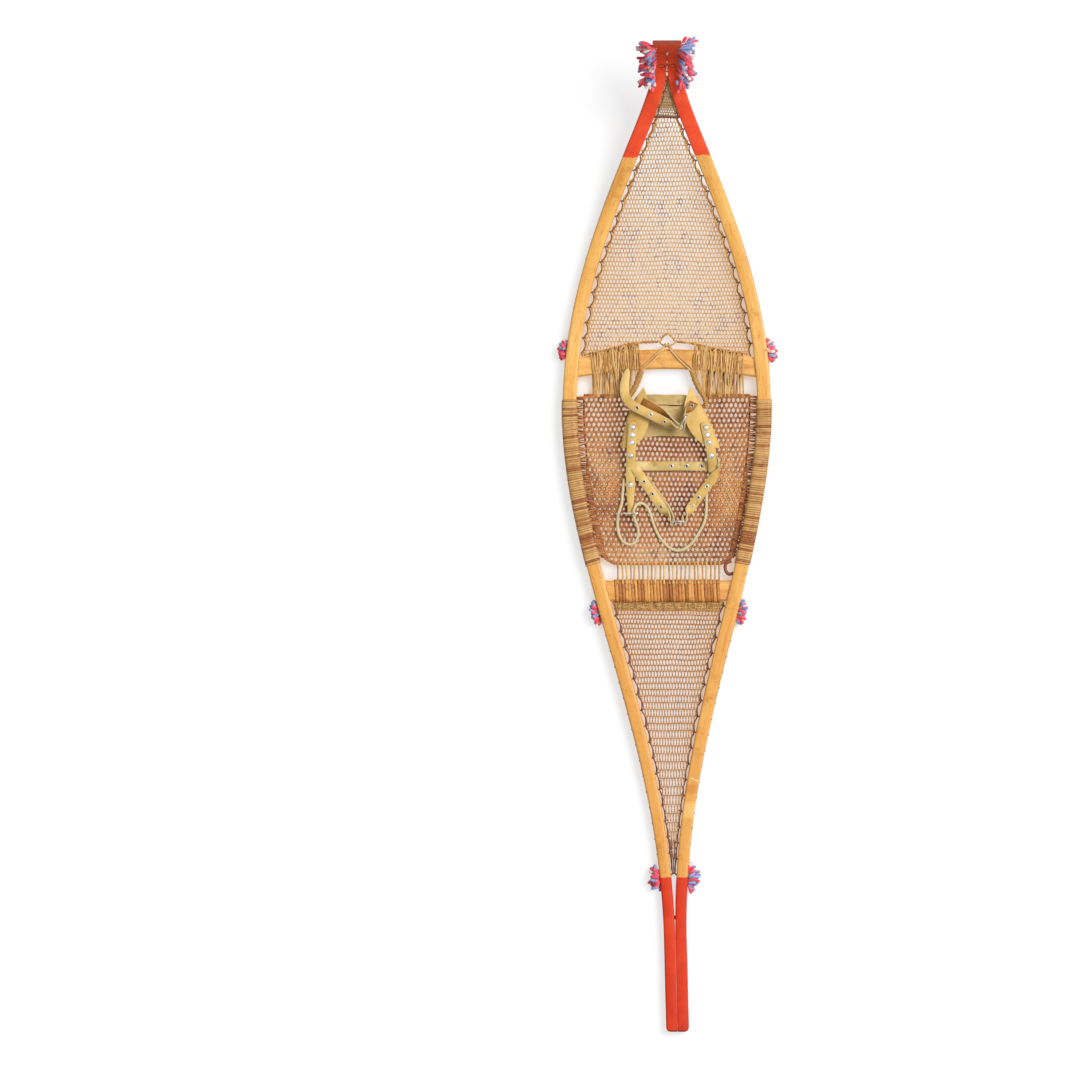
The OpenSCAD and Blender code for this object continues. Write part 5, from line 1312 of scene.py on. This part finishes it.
def make_stay(side, name, node):
    skein = Skein()
    over = MID_Z + BAR_T / 2 + 2.4
    front = front_bar_line(0) + FRONT_BAR_W / 2
    rear = front_bar_line(38) - FRONT_BAR_W / 2
    for across, tone in ((-1.5, 0.8), (1.7, 0.6)):
        lace = [(side * 2, front + 7 + across, MID_Z + 1.8),
                (side * 3, front + 4 + across, MID_Z + 4),
                (side * 5.5, front + 0.5 + across, over - 0.3),
                (side * 20, mix(front, rear, 0.5) + 1.6 * across, over),
                (side * 35, rear + 2 + 1.6 * across, over),
                (side * (38 + across), rear - 4, MID_Z + 4.5)]
        skein.cord(rounded(lace), 2.7, 1.5, 8, tone=tone)
    braid = [(side * 36, rear - 1, MID_Z + 6)] + [(side * x, y, MID_Z) for x, y in STAY_PLAN[1:]]
    coiled(skein, braid, (5.0, 7.4, 7.0, 5.4, 4.6), 2.4, 2.7)
    if side == LEFT:
        for k in range(3):
            knot = [(3.8 * math.cos(a), front + 3.6 + 1.5 * k, MID_Z + 2.6 + 2.6 * math.sin(a))
                    for a in np.linspace(0, 2 * math.pi, 17)]
            skein.cord(knot, 1.7, 1.4, 6, (0, 1, 0), tone=0.3 + 0.2 * k)
    for k in range(3):
        x = 40 + 3.4 * k
        bar = front_bar_line(x)
        loop = [(side * (x + 2), front_edge(side * x) - 1, MID_Z + 1),
                (side * (x + 1), bar + 12, MID_Z + 5),
                (side * x, bar + 8, over), (side * (x - 1), bar - 8, over),
                (side * (x - 1), bar - 15, MID_Z + 4),
                (side * (42 + k), rear - 12 - 4 * k, MID_Z + 1.5)]
        skein.cord(rounded(loop), 2.4, 1.6, 6, tone=0.3 + 0.2 * k)
    return skein.piece(name, [BAR_LACE_FINISH], "brown_rawhide", nodes=[node])


make_spreader()
make_toe_lashing()
make_tail_lashing()
make_toe_cord()
for side, word in SIDES:
    make_stay(side, word + "_stay_lace", word + "_stay_cord")

# Wool tufts


def tuft(skein, draw, base, outward, count, length, spread, weights, girth, root):
    """Bunch of cut yarn ends that fans out from a knot, clear of the floor."""
    outward = unit(outward)
    colour = draw.choices((0, 1, 2), weights)[0]
    for _ in range(count):
        aim = unit(outward + np.array([draw.gauss(0, spread) for _ in range(3)]))
        aim = unit(aim + outward * max(0.0, 0.3 - float(aim @ outward)))
        size = length * draw.uniform(0.65, 1.0)
        droop = np.array([0, 0, -1.0]) * size * draw.uniform(0.0, 0.22)
        curl = np.array([draw.uniform(-1, 1) for _ in range(3)]) * size * 0.2
        start = base + np.array([draw.gauss(0, root) for _ in range(3)])
        run = rounded([start, start + aim * size * 0.35 + curl * 0.6,
                       start + aim * size * 0.7 + curl + droop * 0.4,
                       start + aim * size + curl * 0.4 + droop])
        run[:, 2] = np.maximum(run[:, 2], girth / 2 + 0.2)
        swell = along(run, [0, 0.2, 0.6, 0.94, 1], [0.4, 0.75, 0.95, 1.05, 0.8])
        up = np.cross(aim, unit(np.array([draw.uniform(-1, 1), draw.uniform(-1, 1), 0.3])))
        if draw.random() < 0.6:
            colour = draw.choices((0, 1, 2), weights)[0]
        skein.cord(run, girth * swell, girth * swell * 0.8, 6, up,
                   tone=draw.uniform(0.1, 0.9), finish=colour)


YARNS = [RED_YARN, BLUE_YARN, CREAM_YARN]


def stave_frame(side, y, u_share=1.0, v_share=0.5):
    """Point on the outside of a stave and the direction straight out of it."""
    v = stave_height(y) * v_share
    base = stave_point(side, y, side * stave_width(y) / 2 * u_share, v)
    return base, unit(base - stave_point(side, y, 0, v))


def make_side_tuft(side, y, name, node, seed, half, length, weights):
    """Tuft that spreads half its run each way along a stave."""
    skein = Skein()
    draw = random.Random(seed)
    for t in np.linspace(-1, 1, 9):
        base, outward = stave_frame(side, y + half * t)
        aim = outward + np.array([0, 0.75 * t, 0.2])
        tuft(skein, draw, base, aim, 4, length * (1 - 0.25 * t * t), 0.38, weights, 5.0, 1.2)
    return skein.piece(name, YARNS, "wool", nodes=[node])


def make_toe_tufts(side, name, node, seed, weights):
    skein = Skein()
    draw = random.Random(seed)
    for y in (719, 716, 712, 707, 701, 695, 689, 683, 676, 669):
        face = face_up(y)
        sideways = np.array([0, mix(-0.85, 0.3, (y - 669) / 50), 0.1])
        for across, up, lean, length in ((0.95, 0.6, 0.2, 24), (0.6, 1.0, 0.6, 20)):
            base, outward = stave_frame(side, y, across, up)
            tuft(skein, draw, base, outward + lean * face + sideways, 5, length, 0.42,
                 weights, 5.2, 1.0)
    return skein.piece(name, YARNS, "wool", nodes=[node])


for (side, word), seed, weights in zip(SIDES, (61, 62), ((5.5, 2.4, 2.2), (4, 4.2, 1.6))):
    make_toe_tufts(side, "toe_wool_" + word, "toe_tufts_" + word, seed, weights)
# Pairs of side tufts: their y, then the last four values of make_side_tuft, left and right
SIDE_TUFTS = {
    "front": (FRONT_BAR_Y + 22, (63, 6, 14, (5, 3, 0.5)), (64, 8, 15, (5, 3, 1))),
    "rear": (REAR_BAR_Y - 28, (65, 10, 15, (5, 3, 0.5)), (66, 10, 15, (4.5, 3.5, 1))),
    "tail": (-498.0, (67, 8, 19, (6, 2, 1)), (68, 10, 19, (3, 5, 0.5))),
}
for place, (y, *pair) in SIDE_TUFTS.items():
    for (side, word), values in zip(SIDES, pair):
        make_side_tuft(side, y, f"{place}_wool_{word}", f"{place}_tuft_{word}", *values)

# Binding: the toe piece

SOLE_Z, FLAP_RISE, LEATHER_T = 17.1, 12.0, 2.4
FLAP_Z = SOLE_Z + FLAP_RISE
# Lines of the toe piece from its middle out to a flap's edge; each has a rear, middle and front
# point of x, y from the toe cord, and share of the flap's rise
HALF_LINES = [
    [(0, -43, 0), (0, -14, 0), (0, 17, 0)],
    [(26, -44, 0), (22, -15, 0), (19, 17, 0)],
    [(46, -49, 0), (40, -18, 0), (33, 15, 0)],
    [(62, -59, 0.02), (55, -22, 0.02), (42, 13, 0.02)],
    [(66.5, -61, 0.32), (59, -23, 0.32), (45, 12.5, 0.3)],
    [(64, -61, 0.68), (56.5, -23, 0.68), (43, 14, 0.62)],
    [(55, -60, 0.95), (43, -19, 0.97), (39, 21, 0.74)],
    [(42, -54, 0.9), (25, -17, 1), (34, 28, 0.74)],
]


def leather_line(line, side, steps):
    """One line of the toe piece from its rear edge to its front edge."""
    a, b, c = (np.array(p, float) for p in line)
    out = []
    for t in np.linspace(0, 1, steps):
        p = a * (1 - t) * (1 - 2 * t) + b * 4 * t * (1 - t) + c * t * (2 * t - 1)
        flare = 11 * clamp01(p[0] / 46) * clamp01(-p[1] / 60) if side == RIGHT else 0
        out.append((side * p[0] + flare, TOE_CORD_Y + p[1], SOLE_Z + p[2] * FLAP_RISE))
    return out


def make_toe_piece():
    steps = 26
    lines = [leather_line(line, LEFT, steps) for line in HALF_LINES[:0:-1]]
    lines += [leather_line(line, RIGHT, steps) for line in HALF_LINES]
    lines = np.array(lines)
    sheet = rounded(lines.reshape(len(lines), -1)).reshape(-1, steps, 3)
    for row in sheet:
        for p in row:
            crease = noise.noise(Vector(p * np.array([0.05, 0.09, 0.07])))
            p[2] += 0.5 * crease
    skein = Skein()
    skein.grid(sheet, LEATHER_T, (1, 0, 2))
    front_fold(skein)
    return skein.piece("toe_leather", [GRAIN_FINISH, SUEDE_FINISH, EDGE_FINISH, PAINTED_SHADE_FINISH],
                       "leather", "binding", ["toe_piece"], sharp=60)


def front_fold(skein):
    """Front of the sole, turned back over the toe cord, and a near-black strip behind its edge as
    painted shade in the slit.
    """
    fold = []
    for s in np.linspace(0, 1, 22):
        x = mix(-31, 29, s)
        ends = math.sin(math.pi * s) ** 0.35 if 0 < s < 1 else 0
        row = []
        for t in np.linspace(0, 1, 9):
            y = mix(193.4 - 1.2 * ends, 207.4 - 1.5 * (1 - ends), t) + 0.5 * math.sin(5 * s + 2 * t)
            lift = 1.9 * math.sin(math.pi * min(1, 0.3 + 0.7 * t)) ** 0.7 * ends
            row.append((x, y, SOLE_Z + LEATHER_T * 0.85 + lift + 0.25 * math.sin(9 * s + 4 * t)))
        fold.append(row)
    skein.grid(fold, LEATHER_T * 0.7, (1, 1, 2))
    # Painted shade: a near-black strip in the slit behind the fold's edge
    slit_shade_strip = [(mix(-18, 24, s), 191.6 + 0.6 * math.sin(6 * s), SOLE_Z + LEATHER_T * 0.52)
            for s in np.linspace(0, 1, 16)]
    skein.cord(slit_shade_strip, along(slit_shade_strip, [0, 0.2, 0.8, 1], [0.3, 1.4, 1.4, 0.3]), 0.5, 6, finish=3)


make_toe_piece()


def make_tie(side, name, node):
    """Thong round the toe cord and the sole."""
    skein = Skein()
    turns, pitch = 2, 3.8
    w, low, high = 2 * (3.5 + 2 * SNUG), MID_Z - 3.8, SOLE_Z + LEATHER_T / 2 + SNUG

    def spot(t, s, thick):
        (v, z), (ov, oz) = section_spot(w, high - low, s, thick / 2)
        x = side * 26 + pitch * (t - turns / 2)
        return np.array([x, TOE_CORD_Y + v, (low + high) / 2 + z]), np.array([0, ov, oz])

    wound(skein, turns, spot, 3.2, 1.4, 71)
    return skein.piece(name, [PALE_THONG_FINISH], "pale_thong", "binding", [node])


for side, word in SIDES:
    make_tie(side, word + "_tie_thong", word + "_tie")

# Binding: straps, which follow stops of (x, y, z, direction of the width, roll on edge, width)

STRAP_W, STRAP_T, WIRE_R, BUCKLE_LEN, BUCKLE_HALF = 13.5, 2.2, 1.2, 18.0, 9.7
BED_Z = 13.7
LOW_LAYER = BED_Z + STRAP_T / 2
TURN_R = WIRE_R + SNUG + STRAP_T / 2
HIGH_LAYER = LOW_LAYER + 2 * TURN_R
ON_EDGE = 90.0


def full_stop(x, y, z, angle=0.0, roll=0.0, width=STRAP_W):
    return (x, y, z, angle, roll, width)


def strap_rings(stops):
    """Rings of a strap with soft edges along its stops."""
    run = rounded([full_stop(*s) for s in stops])
    spots, angle, roll, wide = run[:, :3], np.radians(run[:, 3]), np.radians(run[:, 4]), run[:, 5]
    ahead = unit(np.gradient(spots, axis=0))
    level = np.stack([np.cos(angle), np.sin(angle), np.zeros(len(run))], axis=1)
    across = np.cos(roll)[:, None] * level + np.sin(roll)[:, None] * np.array([0, 0, 1.0])
    square = unit(across - (across * ahead).sum(1, keepdims=True) * ahead)
    across = unit(np.where(roll[:, None] > 0.02, across, square))
    up = unit(np.cross(across, ahead))
    h, e = STRAP_T / 2, 0.6
    rings = []
    for spot, a, b, w in zip(spots, across, up, wide / 2):
        section = [(-w + e, -h), (0, -h), (w - e, -h), (w, e - h), (w, h - e),
                   (w - e, h), (0, h), (e - w, h), (-w, h - e), (-w, e - h)]
        rings.append([spot + u * a + v * b for u, v in section])
    return rings


UNDER_FACE, UPPER_FACE, SIDE_FACES = (0, 1), (5, 6), (2, 3, 4, 7, 8, 9)


def strap(skein, stops, upper=0, under=1, edge=2):
    finish = [0] * 10
    for columns, mark in ((UNDER_FACE, under), (UPPER_FACE, upper), (SIDE_FACES, edge)):
        for c in columns:
            finish[c] = mark
    skein.loft(strap_rings(stops), finish=finish, ends=edge)


def beside(bar, angle, out, back, z, width_angle, roll=0.0):
    """Stop beside an upright bar: out along a plan angle and back to the left of it."""
    c, s = math.cos(math.radians(angle)), math.sin(math.radians(angle))
    return (bar[0] + out * c - back * s, bar[1] + out * s + back * c, z, width_angle, roll)


def upright_turn(bar, angle):
    """Half turn, clockwise in plan, of a strap on edge round an upright bar."""
    turns = [math.radians(angle - 180 * i / 6) for i in range(7)]
    return [(bar[0] + TURN_R * math.cos(a), bar[1] + TURN_R * math.sin(a), bar[2], 0, ON_EDGE)
            for a in turns]


def level_turn(y, z, r):
    """Places, from above to below, of a half turn round a level bar on the tail side."""
    turns = [math.radians(90 - 180 * i / 6) for i in range(7)]
    return [(y - r * math.cos(a), z + r * math.sin(a)) for a in turns]


LEATHERS = [GRAIN_FINISH, SUEDE_FINISH, EDGE_FINISH, BROWN_FINISH, WORN_STRAP_FINISH]


def strap_piece(skein, name, body, *nodes):
    """Piece of strap leather in place of nodes."""
    return skein.piece(name, LEATHERS, "leather", body, nodes, sharp=70)


TOE_ANGLE = 64.0
TOE_RING_Z = FLAP_Z + LEATHER_T / 2 + SNUG + WIRE_R + BUCKLE_HALF
TOE_BAR = (20.0, TOE_CORD_Y - 30, TOE_RING_Z)
TAB_BAR = (TOE_BAR[0] + BUCKLE_LEN * math.cos(math.radians(TOE_ANGLE)),
           TOE_BAR[1] + BUCKLE_LEN * math.sin(math.radians(TOE_ANGLE)), TOE_RING_Z)


def toe_low(out, back, z, roll):
    return beside(TOE_BAR, TOE_ANGLE, out, back, FLAP_Z + z, TOE_ANGLE, roll)


def toe_return(back, roll):
    return beside(TOE_BAR, TOE_ANGLE, -TURN_R - 0.4, back, TOE_RING_Z - 0.04 * back,
                  TOE_ANGLE, roll)


def make_toe_strap():
    slot_x, slot_y = -36, TOE_CORD_Y + 7
    edge_rise = TOE_RING_Z - FLAP_Z
    skein = Skein()
    strap(skein, [
        (slot_x - 0.5, slot_y, FLAP_Z - 7, TOE_ANGLE), (slot_x, slot_y, FLAP_Z - 1, TOE_ANGLE),
        (slot_x + 2.5, slot_y - 1.5, FLAP_Z + 2.6, TOE_ANGLE),
        toe_low(8, 50, 4, 0), toe_low(7.6, 36, 6.4, 30), toe_low(6.8, 25, 9.2, 62),
        toe_low(4.8, 15, 11.4, 82), toe_low(TURN_R, 6, edge_rise, ON_EDGE),
        *upright_turn(TOE_BAR, TOE_ANGLE),
        toe_return(8, ON_EDGE), toe_return(15, 54), toe_return(20.5, 24), toe_return(27.5, 24),
        toe_return(37, 4), toe_return(44, 0), toe_return(60, 0), toe_return(72, 0),
        (-53, 194, 37.5, 52), (-58, 199.5, 33, 28), (-61, 206, 27.5, 8), (-62, 213, 24, 4),
        (-61.5, 224, 23, 0, 0, 13), (-59.5, 234, 22.4, -6, 0, 11.5), (-57.6, 241, 22.3, -8, 0, 8),
        (-56.8, 245, 22.3, -8, 0, 3)],
        upper=0, under=3)
    made = strap_piece(skein, "toe_strap_leather", None, "toe_strap", "toe_strap_tip")
    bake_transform(made)
    return made


def tab_stop(out, back, z, roll=0.0):
    return beside(TAB_BAR, TOE_ANGLE, out, back, FLAP_Z + z, TOE_ANGLE + 90, roll)


def make_toe_tab():
    skein = Skein()
    edge_rise = TOE_RING_Z - FLAP_Z
    strap(skein, [
        tab_stop(22.6, -2.2, -5.5), tab_stop(22.2, -2.2, -0.5), tab_stop(20.4, -2, 2.8),
        tab_stop(14.4, -1.2, 3), tab_stop(11.5, -0.6, 4.8, 22), tab_stop(8.5, 0.6, 7.8, 48),
        tab_stop(6, 1.8, 10.6, 72), tab_stop(3, TURN_R, edge_rise, ON_EDGE),
        *reversed(upright_turn(TAB_BAR, TOE_ANGLE + 270)),
        tab_stop(4, -TURN_R, edge_rise, ON_EDGE)], upper=3, under=3)
    return strap_piece(skein, "toe_tab_leather", "binding", "toe_tab")


make_toe_strap()
make_toe_tab()

ROOT_Z = FLAP_Z + LEATHER_T / 2 + SNUG + STRAP_T / 2
HEEL_Y, TUNNEL_Y, RING_Y = 124.0, 103.0, 34.0
TUNNEL_Z = LOW_LAYER + 3 * STRAP_T + 4 * SNUG
FRONT_RIVET_Y, REAR_RIVET_Y = 118.0, 76.0
RING_Z = LOW_LAYER + TURN_R


def strap_x(side, back):
    return -(49 + 4 * clamp01(back)) if side == LEFT else 55 + 13 * clamp01(back)


def side_stop(side, back, y, z, w=STRAP_W):
    return (strap_x(side, back), y, z, 0, 0, w)


def side_front(side):
    return [side_stop(side, 0, 167, ROOT_Z, 7), side_stop(side, 0, 166, ROOT_Z, 11),
            side_stop(side, 0.05, 163, ROOT_Z), side_stop(side, 0.4, 145, ROOT_Z),
            side_stop(side, 0.75, HEEL_Y, ROOT_Z),
            side_stop(side, 0.8, FRONT_RIVET_Y, ROOT_Z - 0.6),
            side_stop(side, 0.85, FRONT_RIVET_Y - 7, ROOT_Z - 2.2),
            side_stop(side, 0.95, TUNNEL_Y, TUNNEL_Z + 1.5)]


def side_under(side):
    return [side_stop(side, 0.95, TUNNEL_Y, LOW_LAYER),
            side_stop(side, 0.85, FRONT_RIVET_Y - 4, LOW_LAYER)]


def blend_at_heel(made):
    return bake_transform(made)


def make_left_side():
    skein = Skein()
    turn = [side_stop(LEFT, 1, y, z, 8.5) for y, z in level_turn(RING_Y, RING_Z, TURN_R)]
    strap(skein, [*side_front(LEFT), side_stop(LEFT, 1, TUNNEL_Y - 14, TUNNEL_Z),
                  side_stop(LEFT, 1, REAR_RIVET_Y + 6, HIGH_LAYER + 1.2),
                  side_stop(LEFT, 1, REAR_RIVET_Y - 5, HIGH_LAYER + 0.4),
                  side_stop(LEFT, 1, RING_Y + 9, HIGH_LAYER, 8.5), *turn,
                  side_stop(LEFT, 1, RING_Y + 9, LOW_LAYER, 8.5),
                  side_stop(LEFT, 1, REAR_RIVET_Y - 5, LOW_LAYER),
                  *side_under(LEFT)], upper=1, under=0)
    return blend_at_heel(strap_piece(skein, "left_side_leather", None,
                                     "left_strap_root", "left_side_strap"))


def make_right_side():
    skein = Skein()
    fold_y, fold_r = TUNNEL_Y - 6, (TUNNEL_Z - LOW_LAYER) / 2
    turn = [side_stop(RIGHT, 0.97, y, z) for y, z in level_turn(fold_y, LOW_LAYER + fold_r, fold_r)]
    strap(skein, [*side_front(RIGHT), *turn, *side_under(RIGHT)], upper=1, under=0)
    return blend_at_heel(strap_piece(skein, "right_side_leather", None,
                                     "right_strap_root", "right_side_strap"))


make_left_side()
make_right_side()

CROSS_Z = LOW_LAYER + STRAP_T + SNUG


def make_cross():
    skein = Skein()
    low, high = strap_x(LEFT, 0.95) - 5.75, strap_x(RIGHT, 0.95) + 5.75
    strap(skein, [(mix(low, high, i / 8), TUNNEL_Y + 0.3 * math.sin(i * 1.7),
                   CROSS_Z + 0.12 * math.sin(i * 2.3), 90) for i in range(9)], upper=4, under=4)
    return strap_piece(skein, "instep_cross_leather", "heel_straps", "instep_cross")


make_cross()

INSTEP_Z = BED_Z + WIRE_R + BUCKLE_HALF
INSTEP_BAR = (8.0, 22.4, INSTEP_Z)
HELD_BAR = (26.0, 22.4, INSTEP_Z)
LEFT_LEG, RIGHT_LEG = 35.0, 143.0


def left_return(t, roll=0.0):
    near, far = np.array([-8, 43, LOW_LAYER + 5.8]), np.array([-36.5, 85.4, LOW_LAYER + 3.3])
    return (*mix(near, far, t), LEFT_LEG, roll)


def right_leg(t):
    far, near = np.array([68.5, 86.5, LOW_LAYER + 7.8]), np.array([35, 42, LOW_LAYER + 2.8])
    return (*mix(far, near, t), RIGHT_LEG, 0)


def blend_at_cross(made):
    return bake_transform(made)


def make_instep_legs():
    skein = Skein()
    strap(skein, [
        (-33, 86, LOW_LAYER + 0.4, LEFT_LEG), (-23, 71.5, LOW_LAYER, LEFT_LEG),
        (-9, 52, LOW_LAYER, LEFT_LEG + 2),
        (0, 40.5, LOW_LAYER + 3.8, LEFT_LEG + 3, 34),
        (6.5, 32.5, LOW_LAYER + 7.8, LEFT_LEG + 7, 72),
        beside(INSTEP_BAR, 0, TURN_R, 4.5, INSTEP_Z, 0, ON_EDGE), *upright_turn(INSTEP_BAR, 0),
        beside(INSTEP_BAR, 0, -TURN_R, 5, INSTEP_Z, 0, ON_EDGE),
        (1.2, 33.5, INSTEP_Z - 1, LEFT_LEG + 3, 62), left_return(-0.1, 14), left_return(0.1, 14),
        left_return(0.25, 2), left_return(0.38), left_return(0.7), left_return(1),
        (-40.5, 91.4, TUNNEL_Z + 1.2, LEFT_LEG), (-44.5, 97.5, TUNNEL_Z + 2.4, LEFT_LEG + 4),
        (-46.5, 101, TUNNEL_Z + 2.2, LEFT_LEG + 8)], upper=0, under=1)
    blend_at_cross(strap_piece(skein, "instep_left_leather", None, "instep_left_strap"))
    skein = Skein()
    strap(skein, [
        (74.6, 116, 24.5, 95, ON_EDGE), (76, 108, 24, 92, ON_EDGE), (76.2, 100, 23.6, 95, 84),
        (74.2, 93.5, 23.2, 120, 50), right_leg(0), right_leg(0.5), right_leg(1),
        (32.2, 37.6, LOW_LAYER + 4.6, RIGHT_LEG - 2, 36),
        (29.8, 32, LOW_LAYER + 8.4, RIGHT_LEG - 15, 74),
        beside(HELD_BAR, 0, TURN_R, 4.5, INSTEP_Z, 0, ON_EDGE),
        *upright_turn(HELD_BAR, 0), beside(HELD_BAR, 0, -TURN_R, 5, INSTEP_Z, 0, ON_EDGE),
        beside(HELD_BAR, 0, -TURN_R - 0.4, 9, INSTEP_Z, 0, ON_EDGE)], upper=0, under=1)
    blend_at_cross(strap_piece(skein, "instep_right_leather", None, "instep_right_strap"))


make_instep_legs()

# Eyelets and other metal


# Radius and height of the rings of an eyelet and of the dark plug in its hole, which is painted
# shade
EYELET_PROFILE = ((1.45, -0.2), (1.5, 0.5), (1.9, 0.95), (2.5, 0.95), (3.0, 0.6), (3.2, 0.15),
                  (3.1, -0.2))
HOLE_SHADE_PLUG = ((1.5, -0.3), (1.5, 0.12))


def eyelet(skein, stop):
    """Rolled ring on a strap, with a near-black plug in its hole as painted shade."""
    x, y, z, angle, roll = stop
    a, r = math.radians(angle), math.radians(roll)
    wide = np.array([math.cos(a) * math.cos(r), math.sin(a) * math.cos(r), math.sin(r)])
    long = np.array([-math.sin(a), math.cos(a), 0])
    out = unit(np.cross(wide, long))
    middle = np.array([x, y, z]) + out * (STRAP_T / 2)
    turns = np.linspace(0, 2 * math.pi, 24, endpoint=False)

    def rings(profile):
        return [[middle + out * h + size * (math.cos(t) * wide + math.sin(t) * long) for t in turns]
                for size, h in profile]

    skein.loft(rings(EYELET_PROFILE), finish=0, capped=False)
    # The plug in the hole is painted shade
    skein.loft(rings(HOLE_SHADE_PLUG), finish=1)


def make_eyelets(stops, name, body, node):
    skein = Skein()
    for stop in stops:
        eyelet(skein, stop)
    return skein.piece(name, [NICKEL_FINISH, PAINTED_SHADE_FINISH], "nickel", body, [node], sharp=50)


make_eyelets([toe_return(24, 24), toe_return(47, 0), toe_return(69, 0), tab_stop(17.4, -1.6, 2.9)],
             "toe_strap_eyelets", "binding", "toe_eyelets")
make_eyelets([(x, TUNNEL_Y, CROSS_Z, 90, 0) for x in (7, 29, 51)],
             "cross_run_eyelets", "heel_straps", "cross_eyelets")
make_eyelets([left_return(0.01, 14), left_return(0.45), left_return(0.88),
              *(right_leg(t) for t in (0.3, 0.66, 0.93))],
             "instep_leg_eyelets", "instep_loop", "instep_eyelets")
dress(NICKEL_FINISH, "toe_buckle", "toe_prong", "instep_buckle", "instep_prong", "thong_ring",
      "left_flap_rivets", "right_flap_rivets", "left_strap_rivets", "right_strap_rivet")

# Floor and light

scene = bpy.context.scene
scene.view_settings.view_transform = "Standard"
floor_mesh = bpy.data.meshes.new("floor")
FLOOR_REACH = 15.0
corners = [(FLOOR_REACH * x, FLOOR_REACH * y, 0) for x, y in ((-1, -1), (1, -1), (1, 1), (-1, 1))]
floor_mesh.from_pydata(corners, [], [(0, 1, 2, 3)])
floor = bpy.data.objects.new("floor", floor_mesh)
scene.collection.objects.link(floor)


FLOOR_GREY, FLOOR_GLOW = (0.33, 0.33, 0.33, 1), (0.685, 0.688, 0.69, 1)
PAINTED_WARM_SHADE, BLACK, WHITE = (0.64, 0.46, 0.33, 1), (0, 0, 0, 1), (1, 1, 1, 1)


def floor_finish():
    """White where it is lit, with a pale shade; right under the nets, where ambient occlusion finds
    them overhead, its emission colour is a painted warm shade.
    """
    f = Finish("floor_white", Base_Color=FLOOR_GREY, Roughness=1.0, Specular_IOR_Level=0.0,
               Emission_Strength=1.0)
    open_share = f.node("ShaderNodeAmbientOcclusion", {"samples": 8}, {"Distance": 0.045}, out="AO")
    netted_part = ((f.axis(f.place(), "Y") + 0.5) * 30).held()
    # Painted shade: the floor's emission colour turns darker and warmer where the nets are overhead
    under_net_shade = ((0.53 - open_share) * 5).held() * netted_part
    emission_with_painted_shade = f.blend(under_net_shade, FLOOR_GLOW, PAINTED_WARM_SHADE)
    return f.surface(Emission_Color=f.blend(f.seen_rays(), BLACK, emission_with_painted_shade))


floor_mesh.materials.append(floor_finish())

world = bpy.data.worlds.new("studio")
scene.world = world
world.use_nodes = True
sky = NodeTree(world.node_tree)
fill = sky.node("ShaderNodeBackground", {}, {"Color": WHITE, "Strength": 0.42})
white = sky.node("ShaderNodeBackground", {}, {"Color": WHITE, "Strength": 1.0})
shown = sky.node("ShaderNodeMixShader", {}, {0: sky.seen_rays(), 1: fill, 2: white})
world.node_tree.links.new(shown.socket, world.node_tree.nodes["World Output"].inputs["Surface"])


def lamp(name, energy, angle, direction):
    """Soft sun that shines along a direction."""
    data = bpy.data.lights.new(name, "SUN")
    data.energy, data.angle = energy, math.radians(angle)
    made = bpy.data.objects.new(name, data)
    made.rotation_euler = Vector(direction).to_track_quat("-Z", "Y").to_euler()
    scene.collection.objects.link(made)


lamp("key", energy=2.6, angle=32, direction=(-0.62, -0.34, -1.0))
